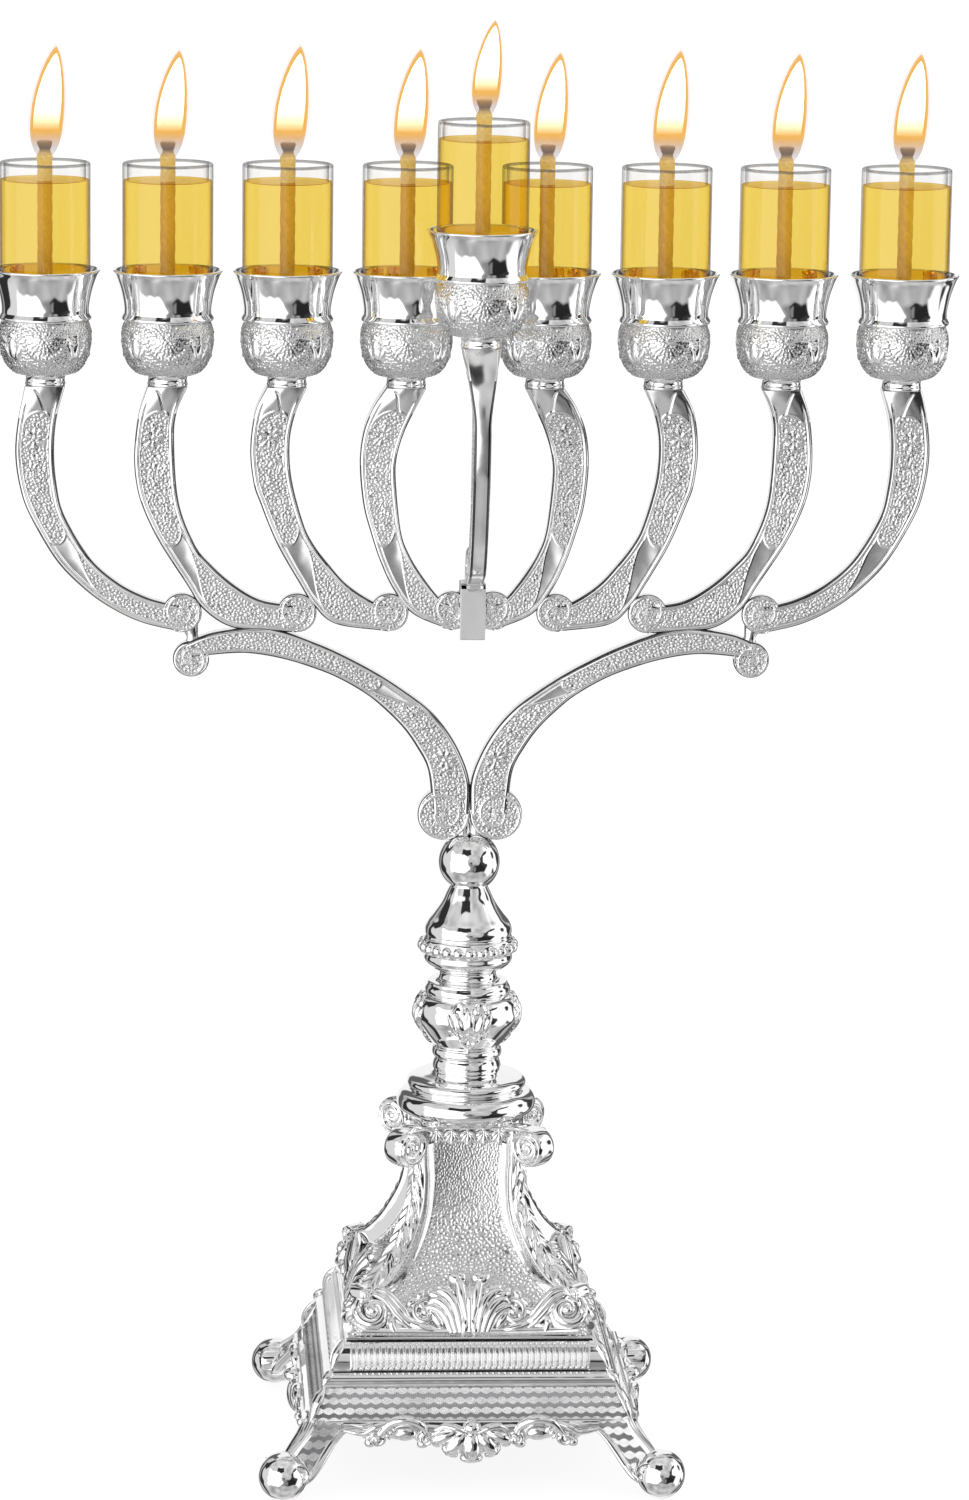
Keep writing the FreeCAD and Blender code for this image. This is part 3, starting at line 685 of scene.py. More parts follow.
def scroll_disc(mesh, centre, radius, thick, start_deg, turn, rings=34, columns=120):
    """The curled end of a casting: pebbled ground and a raised line that follows
    the rim for three quarters of a turn and winds on inward.  The strip runs in
    through the last quarter, so there the ground is open to the edge."""
    rho = np.linspace(0.02, 1, rings)[:, None] * radius
    phi = np.linspace(0, 2 * math.pi, columns, endpoint=False)[None, :]
    rho, phi = np.broadcast_arrays(rho, phi)
    swept = np.mod(turn * (phi - math.radians(start_deg)), 2 * math.pi) / (2 * math.pi)
    line = np.zeros(rho.shape)
    for t in (swept, swept + 1):
        at = radius - 0.55 - 0.60 * radius * np.clip(t - 0.5, 0, 9) ** 0.85
        live = smoothstep(1.68, 1.5, t)
        line = np.maximum(line, bump_line(rho - at, 0.55) * live)
    x = centre[0] + rho * np.cos(phi)
    z = centre[1] + rho * np.sin(phi)
    closed = smoothstep(0.80, 0.74, swept) + smoothstep(0.98, 1.0, swept)
    gap = radius - rho
    ground = np.maximum(smoothstep(0.3, 0.7, gap), 1 - closed)
    eye = smoothstep(0.9, 0.6, rho)
    height = -GROUND * ground + GRAIN * pebbles(x, z, PEBBLE) * ground * (1 - line)
    height += 0.62 * np.maximum(line, eye) * np.maximum(ground, 0.2)
    height -= closed * 0.75 * (1 - rounding(gap / 0.6))
    face = thick / 2 + height
    front = np.stack([x, -face, z], -1)
    back = np.stack([x, face, z], -1)
    kind = np.where((line < 0.3) & (ground > 0.6) & (eye < 0.5), PEBBLED, POLISHED)
    # painted shade: the closed rim of a scroll takes the near-black edge material too
    kind = np.where((gap < 0.3) & (closed > 0.5), SHADED, kind)
    mesh.grid(front, wrap_v=True, slot=kind, flip=True)
    mesh.grid(back, wrap_v=True, slot=kind)
    mesh.fan(front[0], [centre[0], -face[0].mean(), centre[1]], flip=True)
    mesh.fan(back[0], [centre[0], face[0].mean(), centre[1]])
    mesh.grid(np.stack([back[-1], front[-1]]), wrap_v=True, flip=True)


def arm_mesh(number):
    """One arm of the row about its own cup's middle, 1 the innermost."""
    shape = ARM_SHAPES[number]
    sx, sz, sr = shape["scroll"]
    mesh = Mesh()
    strip(mesh, shape["inner"], shape["outer"], ARM_THICK, arm_relief, 380, HEAD_LENGTH)
    scroll_disc(mesh, (sx, sz), sr, ARM_THICK + CURL_EXTRA, -90, -1)
    return mesh


BRANCH_TOP = ((76.0, 221.2), (69.0, 223.9), (58.0, 225.4), (50.5, 224.4), (42.0, 221.4),
              (35.1, 218.4), (26.2, 213.7), (18.7, 208.9), (11.7, 203.6), (6.3, 197.4),
              (2.4, 190.5), (0.15, 183.5), (0.1, 175.0))
BRANCH_LOW = ((74.5, 217.4), (64.0, 218.4), (58.0, 218.3), (51.0, 217.1), (44.0, 215.1),
              (36.0, 212.0), (28.0, 207.4), (22.7, 203.0), (18.1, 198.3), (14.5, 193.2),
              (11.5, 187.4), (10.4, 180.0), (10.0, 175.0))


def branch_mesh():
    """A main branch with its two scrolls, the web up to the outer arm and its foot."""
    mesh = Mesh()
    strip(mesh, BRANCH_LOW, BRANCH_TOP, BRANCH_THICK, branch_relief, 480)
    scroll_disc(mesh, (74.6, 216.9), 4.8, BRANCH_THICK + CURL_EXTRA, 90, -1)
    scroll_disc(mesh, (7.0, 174.8), 7.0, BRANCH_THICK + CURL_EXTRA, 180, 1, rings=40, columns=140)
    web = np.array([(74.3, 0, 219.0), (74.2, 0, 222.5), (75.2, 0, 226.5)])
    ribbon(mesh, spline(web, 12), [2.6, 1.5, 2.6], [1.8, 1.4, 1.8], (0, -1, 0), power=0.6)
    foot = np.array([(1.2, 0, 174.0), (1.6, 0, 170.5), (1.8, 0, 168.2)])
    ribbon(mesh, spline(foot, 12), [1.1, 1.6, 2.2], [2.0, 2.2, 2.6], (0, -1, 0), power=0.6)
    return mesh


def chamfered_box(mesh, low, high, slot=0, chamfer=0.3):
    """A block with chamfered edges.  Every face has its own corners, so that flat
    stays flat."""
    middle, half = np.add(low, high) / 2, np.subtract(high, low) / 2
    for way in itertools.product((-1, 0, 1), repeat=3):
        axes = np.flatnonzero(way)
        corners = [middle + sign * (half - chamfer * (np.arange(3) != axis))
                   for sign in itertools.product((-1, 1), repeat=3) for axis in axes
                   if all(sign[k] == way[k] for k in axes)]
        if corners:
            arms = np.array(corners) - np.mean(corners, axis=0)
            turn = np.arctan2(arms @ np.cross(way, arms[0]) / np.linalg.norm(way), arms @ arms[0])
            mesh.add(np.array(corners)[np.argsort(turn)], [range(len(corners))], slot)


def shamash_arm_mesh():
    """The front arm over its saddle, which hooks over the two middle scrolls."""
    low, high = node_mm("candle_cup_shamash")
    at = (0.0, (low[1] + high[1]) / 2, low[2] + STUD_LENGTH - COLLAR_LEVEL)
    mesh = arm_mesh(1).moved(at, turn_deg=-90)
    chamfered_box(mesh, (-3.4, -3.7, 235.9), (3.4, 3.7, 237.5), SATIN)
    chamfered_box(mesh, (-3.4, -3.7, 222.4), (3.4, -2.5, 237.5), SATIN)
    chamfered_box(mesh, (-3.4, 2.5, 224.5), (3.4, 3.7, 237.5), SATIN)
    chamfered_box(mesh, (-2.2, -12.0, 236.8), (2.2, 3.7, 240.8), chamfer=0.8)
    return mesh


# ---- candle cups and lights ------------------------------------------------------
BULB = ((7.0, 3.0), (8.7, 3.9), (10.1, 5.4), (11.1, 7.3), (11.8, 9.7), (12.2, 12.4),
        (12.0, 14.6), (11.5, 16.2), (11.1, 17.2))


def wrap_angle(angle, step):
    """Angle to the nearest whole step, so that a motif repeats round a piece."""
    return (angle + step / 2) % step - step / 2


def petal_shape(u, v, at, long, wide, turn_deg):
    """A smooth raised drop."""
    c, s = turned(turn_deg)
    along = ((u - at[0]) * s + (v - at[1]) * c) / long
    across = ((u - at[0]) * c - (v - at[1]) * s) / wide
    body = 1 - along ** 2 - (across * (1 + 0.5 * np.clip(along, -1, 1))) ** 2
    return np.sqrt(np.clip(body, 0, 1))


def cup_mesh():
    """Collar, embossed bulb with beaded rosettes and tulips, and polished flare."""
    mesh = Mesh()
    lathe(mesh, [(0.1, 0.0), (5.15, 0.0), (5.35, 0.2), (5.35, 0.8), (5.2, 0.95), (5.2, 2.2),
                 (5.35, 2.35), (5.4, 2.85), (7.0, 3.0)], 72)
    curve = spline(BULB, 76)
    length = length_along(curve)

    def motifs(ang, run):
        z = np.interp(run, length, curve[:, 1])
        around = ang + math.pi / 2
        u = wrap_angle(around, math.pi / 2) * 12.0
        r = np.hypot(u, z - 13.6)
        phi = np.arctan2(z - 13.6, u)
        below = smoothstep(14.6, 13.6, z)
        beads = bump_line(r - 5.6, 0.75) * (0.25 + 0.75 * np.abs(np.cos(phi * 17))) * below
        rays = 0.25 + 0.25 * np.cos(phi * 20)
        rays = rays * smoothstep(1.0, 1.8, r) * smoothstep(4.6, 4.2, r) * below
        disc = smoothstep(4.6, 4.3, r) * smoothstep(14.2, 13.4, z) * 0.6
        u2 = wrap_angle(around + math.pi / 4, math.pi / 2) * 12.0
        tulip = petal_shape(u2, z, (0, 10.4), 2.9, 1.25, 0)
        for side in (-1, 1):
            tulip = np.maximum(tulip, petal_shape(u2, z, (side * 2.1, 9.6), 2.5, 1.0, side * 24))
            tulip = np.maximum(tulip, 0.7 * petal_shape(u2, z, (side * 3.4, 12.9), 1.8, 0.7, side * 55))
        tulip = np.maximum(tulip, petal_shape(u2, z, (0, 14.2), 1.0, 0.9, 0))
        return beads, rays, np.clip(disc, 0, 1), tulip

    def relief(ang, run):
        beads, rays, disc, tulip = motifs(ang, run)
        grains = 0.30 * pebbles(ang * 12.0, run, 0.85)
        height = grains * (1 - disc) + 0.22 * rays
        height = np.maximum(height, 0.5 * beads)
        height = np.maximum(height, 0.55 * tulip)
        ends = smoothstep(0, 1.2, run) * smoothstep(length[-1], length[-1] - 0.8, run)
        return (height - 0.12) * ends

    ang = np.linspace(0, 2 * math.pi, 300, endpoint=False)
    aa, rr = np.meshgrid(ang, length)
    kind = np.where(motifs(aa, rr)[3] > 0.25, POLISHED, PEBBLED)
    lathe(mesh, curve, 300, slot=kind, relief=relief)
    lathe(mesh, spline([(11.1, 17.2), (11.9, 17.35), (12.2, 17.9), (11.95, 18.5), (11.55, 19.2)], 14), 120)
    flare = spline([(11.55, 19.2), (11.55, 20.6), (11.85, 22.6), (12.4, 25.0), (13.1, 27.2),
                    (13.8, 29.0), (14.35, 30.0), (14.5, 30.4), (14.2, 30.65), (13.7, 30.4),
                    (13.1, 29.0), (12.6, 27.4), (12.3, 26.2), (12.1, 25.4)], 60)
    lathe(mesh, flare, 120)
    lathe(mesh, [(12.1, 25.4), (11.4, 24.6), (9.5, 24.35), (0.1, 24.3)], 120)
    return mesh


def glass_mesh():
    """The outside of the glass, its rounded rim and the inside down to the oil."""
    mesh = Mesh()
    lathe(mesh, [(0.1, 24.6), (9.4, 24.6), (10.36, 24.89), (11.17, 25.71), (11.71, 26.95), (11.9, 28.4),
                 (11.9, 34.0), (11.9, 46.0), (11.9, 57.7)], 128)
    lathe(mesh, [(11.9, 57.7), (11.88, 58.0), (11.75, 58.3), (11.45, 58.48), (11.3, 58.5), (11.1, 58.47),
                 (10.85, 58.3), (10.72, 58.0), (10.7, 57.7)], 128, slot=1)
    lathe(mesh, [(10.7, 57.7), (10.7, 55.5), (10.7, 53.7)], 128)
    return mesh


def oil_mesh():
    """Oil up to a level with a small rise where it meets the glass.  The glass wall
    makes the oil look as wide as the glass, so it is drawn that wide."""
    mesh = Mesh()
    lathe(mesh, [(0.1, 25.6), (9.3, 25.7), (10.8, 26.6), (11.5, 28.6), (11.62, 30.0), (11.62, 40.0),
                 (11.62, 53.2), (11.5, 53.9), (11.1, 53.75), (10.5, 53.6), (9.0, 53.5), (0.1, 53.5)], 128)
    return mesh


def wick_mesh():
    """Twisted wick on a small weighted foot, with a burnt tip."""
    mesh = Mesh()
    lathe(mesh, [(0.1, 27.7), (3.3, 27.7), (3.5, 27.9), (3.5, 28.6), (3.2, 28.8), (1.9, 28.8)], 48,
          slot=1, cap_low=True)
    body = [(2.0, 28.8 + 0.45 * k) for k in range(66)]
    tip = [(2.05, 58.6), (2.15, 59.3), (2.1, 60.0), (1.75, 60.7), (1.5, 61.2), (1.45, 61.7),
           (1.7, 62.3), (2.0, 63.2), (1.95, 63.8), (1.4, 64.0), (0.1, 63.7)]
    profile = np.array(body + tip)

    def twist(ang, run):
        strand = np.abs(np.sin(ang * 1.5 + run * 0.62))
        return -0.22 * (1 - strand) ** 2 * smoothstep(36.0, 34.0, run)

    steps = len(mesh.points)
    lathe(mesh, profile, 64, relief=twist)
    heights = np.repeat(profile[:, 1] - 27.64, 64)
    mesh.uvs[steps] = np.stack([heights * 0, heights], -1)
    return mesh


def flame_mesh(width, foot, tip, lean):
    """A teardrop shell from foot to tip, its point leaning to one side."""
    t = np.linspace(0.0, 1.0, 40)
    radius = width * np.interp(t, (0, 0.04, 0.12, 0.22, 0.34, 0.48, 0.62, 0.76, 0.88, 0.96, 1.0),
                               (0.35, 0.62, 0.84, 0.97, 1.0, 0.97, 0.86, 0.68, 0.45, 0.22, 0.03))
    turn = np.linspace(0, 2 * math.pi, 40, endpoint=False)
    shift = lean * (0.35 * t + 0.65 * t ** 2)
    grid = np.stack([shift[:, None] + radius[:, None] * np.cos(turn),
                     0.25 * shift[:, None] + radius[:, None] * np.sin(turn),
                     (foot + (tip - foot) * t)[:, None] + 0 * turn], -1)
    uv = np.stack([0 * grid[..., 0], np.repeat(t[:, None], 40, axis=1)], -1)
    mesh = Mesh()
    mesh.grid(grid, wrap_v=True, uv=uv, flip=True)
    mesh.fan(grid[0], grid[0].mean(axis=0), flip=True)
    mesh.fan(grid[-1], grid[-1].mean(axis=0))
    return mesh


# ---- stem ------------------------------------------------------------------------
def turned_profile(points, spacing=0.3):
    """A smooth outline with points about the spacing apart."""
    hops = np.hypot(*np.diff(np.asarray(points, float), axis=0).T).sum()
    return spline(points, max(12, int(hops / spacing)))


def capital_mesh():
    """Turned cap: a wide torus under a domed cushion."""
    mesh = Mesh()
    profile = turned_profile(((0.1, 91.5), (14.0, 91.45), (15.4, 91.6), (16.0, 92.4), (16.9, 93.1),
                              (18.1, 93.7), (18.75, 95.1), (18.5, 96.9), (17.6, 98.3), (16.4, 99.0),
                              (15.3, 99.3), (15.1, 99.8), (15.9, 100.3), (16.1, 101.2), (15.6, 102.1),
                              (14.2, 102.9), (12.0, 103.4), (9.8, 103.9), (8.6, 104.4)), 0.28)
    lathe(mesh, profile, 160)
    return mesh


def vase_mesh():
    """Vase-shaped knop with four tulip ornaments round its belly."""
    mesh = Mesh()
    neck = turned_profile(((0.1, 103.9), (8.2, 103.9), (8.9, 104.6), (9.3, 105.6), (8.9, 107.2),
                           (8.5, 108.0), (9.2, 108.4), (9.5, 109.5), (9.2, 110.7), (8.7, 111.0)), 0.3)
    lathe(mesh, neck, 120)
    belly = turned_profile(((8.7, 111.0), (10.2, 112.8), (12.0, 115.4), (13.5, 118.2), (13.9, 120.2),
                            (13.5, 122.8), (12.5, 124.6), (11.2, 125.5), (11.5, 126.0), (11.6, 127.0),
                            (11.3, 127.8), (10.9, 128.4), (10.5, 129.1), (8.0, 129.2)), 0.26)
    length = length_along(belly)

    def tulips(ang, run):
        z = np.interp(run, length, belly[:, 1])
        u = wrap_angle(ang + math.pi / 2, math.pi / 2) * 13.4
        height = petal_shape(u, z, (0, 119.8), 4.2, 1.25, 0)
        for side in (-1, 1):
            height = np.maximum(height, petal_shape(u, z, (side * 2.5, 118.6), 4.4, 1.0, side * 17))
            height = np.maximum(height, 0.8 * petal_shape(u, z, (side * 4.5, 119.4), 3.4, 0.6, side * 24))
            height = np.maximum(height, 0.8 * petal_shape(u, z, (side * 1.7, 113.9), 1.9, 0.8, side * 50))
            height = np.maximum(height, 0.7 * bump_line(np.hypot(u - side * 3.2, z - 123.4) - 1.5, 0.5)
                                * (z > 122.6))
        height = np.maximum(height, 0.9 * petal_shape(u, z, (0, 113.2), 1.8, 0.8, 0))
        return height

    lathe(mesh, belly, 260, relief=tulips)
    return mesh


def beaded_mesh():
    """Neck and spreading collar edged with a row of beads."""
    mesh = Mesh()
    profile = turned_profile(((0.1, 129.2), (8.3, 129.2), (8.0, 129.8), (7.7, 130.8), (7.9, 131.9),
                              (9.4, 132.6), (11.2, 133.9), (12.0, 135.4), (11.7, 136.6),
                              (12.0, 137.2), (12.4, 138.8),
                              (12.3, 140.0), (12.0, 140.8), (11.4, 141.2), (8.0, 141.2)), 0.35)
    lathe(mesh, profile, 120)
    for k in range(24):
        turn = 2 * math.pi * k / 24 - math.pi / 2
        ellipsoid(mesh, (12.0 * math.cos(turn), 12.0 * math.sin(turn), 138.7), (1.62, 1.62, 1.75), rows=12)
    return mesh


def stem_ball_mesh():
    """Cone with a hollowed side under the ball that carries the branches."""
    mesh = Mesh()
    profile = turned_profile(((0.1, 141.2), (11.0, 141.2), (11.6, 141.7), (11.8, 142.8), (11.6, 144.2),
                              (10.9, 145.6), (9.6, 147.2), (8.0, 149.4), (6.8, 151.4), (5.9, 153.4),
                              (5.2, 154.8), (5.0, 155.2)), 0.35)
    lathe(mesh, profile, 120)
    turn = np.radians(np.linspace(-54, 89.5, 60))
    lathe(mesh, np.stack([8.3 * np.cos(turn), 161.6 + 8.3 * np.sin(turn)], -1), 120)
    return mesh


# ---- pedestal --------------------------------------------------------------------
def square_sweep(mesh, profile, per_side, hollow=0.0, relief=None, slot=0):
    """Sweep (half width, height) points round a square plan, as four faces that
    meet at the corners.  relief(x, run, half) lifts a face along its own slope;
    hollow draws the middle of each side in, as a share of the half width."""
    profile = np.asarray(profile, float)
    out, up = np.split(normals(profile), 2, axis=1)
    run = length_along(profile)
    across = np.linspace(-1, 1, per_side)[None, :]
    half = profile[:, 0:1]
    x = half * across
    lift = np.zeros(x.shape) if relief is None else relief(x, run[:, None] + 0 * x, half + 0 * x)
    y = -(half - hollow * half * (1 - across ** 2)) - lift * out
    z = profile[:, 1:2] + lift * up + 0 * x
    side = Mesh()
    uv = np.stack([x, run[:, None] + 0 * x], -1)
    side.grid(np.stack([x, y, z], -1), slot=slot, uv=uv, flip=True)
    mesh.take(side.quarters())


PEDESTAL_LINE = ((32.5, 38.9), (29.5, 44.0), (25.6, 48.5), (21.2, 53.0), (17.5, 58.0),
                 (14.9, 62.5), (13.4, 67.5), (12.4, 74.0), (12.1, 81.0), (12.2, 91.5))


def pedestal_mesh():
    """Four hollowed faces with a hammered grain, coarse below and fine above."""
    mesh = Mesh()
    line = spline(PEDESTAL_LINE, 270)

    def hammered(x, run, half):
        coarse = pebbles(x, run, 1.15, 3.0)
        fine = pebbles(x, run, 0.8, 5.0)
        share = smoothstep(24.0, 38.0, run)
        edge = smoothstep(0.0, 1.2, half - np.abs(x))
        return edge * ((1 - share) * 0.50 * coarse + share * 0.07 * fine - 0.1)

    square_sweep(mesh, line, 210, 0.06, hammered)
    mesh.fan([(32.4, -32.4, 38.95), (32.4, 32.4, 38.95), (-32.4, 32.4, 38.95), (-32.4, -32.4, 38.95)],
             (0, 0, 38.95), flip=True)
    fringe = Mesh()
    for x in (-8.4, -4.3, 0.0, 4.3, 8.4):
        top, low = 90.6, 86.4 + 0.06 * abs(x)
        for turn, long, wide in ((0, 2.5, 0.95), (-33, 2.1, 0.8), (33, 2.1, 0.8), (-62, 1.8, 0.7),
                                 (62, 1.8, 0.7)):
            c, s = turned(turn)
            middle = (x + s * 1.5, -12.6, top - 0.5 - c * (top - low) * 0.42)
            ellipsoid(fringe, middle, (wide, 1.0, long), rows=12, columns=14,
                      tilt=[[c, 0, -s], [0, 1, 0], [s, 0, c]])
        ellipsoid(fringe, (x, -12.8, low + 0.5), (0.95, 0.9, 0.8))
    rim = np.array([(x, -12.3, 91.0) for x in np.linspace(-11.5, 11.5, 24)])
    ribbon(fringe, rim, [0.5, 0.5], [0.6, 0.6], (0, 0, 1))
    mesh.take(fringe.quarters(), 1)
    return mesh


# ---- corner scrolls --------------------------------------------------------------
def acanthus(run, w, half):
    """Relief of a drooping leaf: a midrib and slanting pointed leaflets."""
    side = np.abs(w) / half
    leaflet = np.mod(run / 7.0 - 0.75 * side ** 0.85, 1.0)
    shape = np.sin(np.pi * leaflet ** 0.55) ** 0.6
    reach = 0.90 - 0.22 * (1 - leaflet) ** 2
    body = smoothstep(reach + 0.08, reach - 0.10, side) * shape
    crease = bump_line(leaflet - 0.45, 0.16) * smoothstep(0.12, 0.35, side)
    midrib = bump_line(w, 0.7)
    grown = smoothstep(2.0, 9.0, run)
    return grown * (1.25 * body * (1 - 0.2 * side) - 0.35 * crease * body + 0.5 * midrib) - 0.15 * (1 - side)


def bracket_mesh():
    """Rolled volute over an S-shaped strip with an acanthus leaf, at a corner."""
    mesh = Mesh()
    outer = spline(((19.8, 86.5), (19.9, 82.0), (19.8, 77.0), (20.6, 71.0), (23.2, 65.5), (27.8, 58.8),
                    (33.0, 53.9), (37.0, 51.6), (40.4, 50.0), (42.6, 48.6)), 190)
    inner = spline(((15.2, 87.0), (15.2, 82.0), (15.0, 76.0), (16.4, 68.0), (19.0, 62.0), (23.0, 56.5),
                    (28.0, 51.4), (33.0, 48.8), (38.0, 47.4), (41.6, 47.2)), 190)
    run = length_along(outer)
    normal = -normals(outer)
    half = np.interp(run, (0, 12, 26, 38, 47, 52), (2.6, 3.0, 3.7, 3.9, 3.0, 2.4))
    across = np.linspace(-1, 1, 41)
    w = half[:, None] * across[None, :]
    lift = acanthus(run[:, None] + 0 * w, w, half[:, None]) * smoothstep(0, 3, run)[:, None]
    lift = lift * smoothstep(52.0, 47.0, run)[:, None] - 0.35 * smoothstep(0.9, 1.0, np.abs(across))[None, :]
    face = outer[:, None] + normal[:, None] * lift[..., None]
    front = np.stack([face[..., 0], w, face[..., 1]], -1)
    depth = np.linspace(0.06, 1, 9)
    wall = outer[:, None] + (inner - outer)[:, None] * depth[:, None]
    edge = half[:, None] + 0.12 - 0.35 * np.sin(np.pi * depth)
    plus = np.stack([wall[..., 0], edge, wall[..., 1]], -1)
    minus = (plus * (1, -1, 1))[:, ::-1]
    ring = np.concatenate([front, plus, minus], axis=1)
    mesh.grid(ring, wrap_v=True, flip=True)
    mesh.fan(ring[0], ring[0].mean(axis=0), flip=True)
    mesh.fan(ring[-1], ring[-1].mean(axis=0))
    roll_volute(mesh, (24.4, 87.0), 5.3, 3.1)
    roll_volute(mesh, (40.9, 50.0), 2.3, 2.5)
    neck = np.array([(14.5, 0, 90.0), (18.0, 0, 91.2), (22.0, 0, 91.6), (25.5, 0, 91.3)])
    ribbon(mesh, spline(neck, 16), [3.0, 3.0], [1.0, 0.9], (0, 0, 1), power=0.6)
    return mesh


def roll_volute(mesh, centre, radius, half_width):
    """A rolled scroll end: a barrel with a spiral on each flat side."""
    w = np.linspace(-1, 1, 17)
    barrel = radius * (1 - 0.05 * w ** 2 - 0.06 * np.abs(w) ** 6)
    turn = np.linspace(0, 2 * math.pi, 96, endpoint=False)
    x = centre[0] + barrel[:, None] * np.cos(turn)
    z = centre[1] + barrel[:, None] * np.sin(turn)
    y = (w * half_width)[:, None] + 0 * x
    grid = np.stack([x, y, z], -1)
    mesh.grid(grid, wrap_v=True)
    rim = barrel[-1]
    rho = np.linspace(1.0, 0.02, 30)[:, None] * rim
    phi = turn[None, :]
    laps = np.mod(phi - math.radians(200), 2 * math.pi) / (2 * math.pi)
    height = np.zeros((30, 96))
    for lap in range(-1, 3):
        at = rim * (0.88 - 0.42 * (laps + lap))
        live = (laps + lap > -0.35) & (laps + lap < 1.75)
        height = np.maximum(height, bump_line(rho - at, rim * 0.19) * live)
    eye = np.sqrt(np.clip(1 - (rho / (rim * 0.24)) ** 2, 0, 1))
    height = 0.9 * np.maximum(height, eye) - 0.55 + 0.4 * smoothstep(rim * 0.9, rim, rho)
    for side in (-1, 1):
        face = np.stack([centre[0] + rho * np.cos(phi), side * (half_width + height),
                         centre[1] + rho * np.sin(phi)], -1)
        mesh.grid(face, wrap_v=True, flip=side < 0)
        mesh.fan(face[-1], face[-1].mean(axis=0), flip=side < 0)


# ---- ornaments at the foot of the pedestal ---------------------------------------
class Slope:
    """A leaning plane with ornaments on it.  It maps (across, up the slope, outward)
    to the frame, and adds to its mesh."""

    def __init__(self, mesh, foot_y, foot_z, lean_deg):
        self.mesh = mesh
        c, s = turned(lean_deg)
        self.foot = np.array([0.0, foot_y, foot_z])
        self.up = np.array([0.0, s, c])
        self.out = np.array([0.0, -c, s])

    def at(self, points):
        points = np.asarray(points, float)
        return (self.foot + points[:, 0:1] * np.array([1.0, 0, 0]) + points[:, 1:2] * self.up
                + points[:, 2:3] * self.out)


    def ribbon(self, path, widths, heights, both=True, count=40):
        """A rib along a path, and its mirror image on the other half of the face."""
        for side in ((1, -1) if both else (1,)):
            fine = spline(path, count) * (side, 1, 1)
            ribbon(self.mesh, self.at(fine), widths, heights, self.out)

    def volute(self, centre, radius, start_deg, turn_deg, thick, rise, lift=0.0):
        """A tapering spiral with a bead in its eye, on both halves."""
        curve = spiral(centre, radius, radius * 0.16, start_deg, turn_deg, 80)
        height = lift + rise * 0.9 * np.linspace(0, 1, 80) ** 2
        for side in (1, -1):
            path = np.stack([side * curve[:, 0], curve[:, 1], height], -1)
            ribbon(self.mesh, self.at(path), [thick, thick * 0.9, thick * 0.5], [rise, rise, rise * 0.7],
                   self.out)
            eye = self.at([[side * centre[0], centre[1], lift + rise * 0.9]])[0]
            ellipsoid(self.mesh, eye, (thick * 0.95,) * 3)

    def lobe(self, at, long, wide, thick, turn_deg, both=True):
        """A petal lying on the slope, and its mirror image."""
        for side in ((1, -1) if both else (1,)):
            c, s = turned(side * turn_deg)
            across = np.array([1.0, 0, 0])
            tilt = np.stack([c * across - s * self.up, self.out, s * across + c * self.up], -1)
            centre = self.at([[side * at[0], at[1], at[2]]])[0]
            ellipsoid(self.mesh, centre, (wide, thick, long), rows=14, columns=18, tilt=tilt)


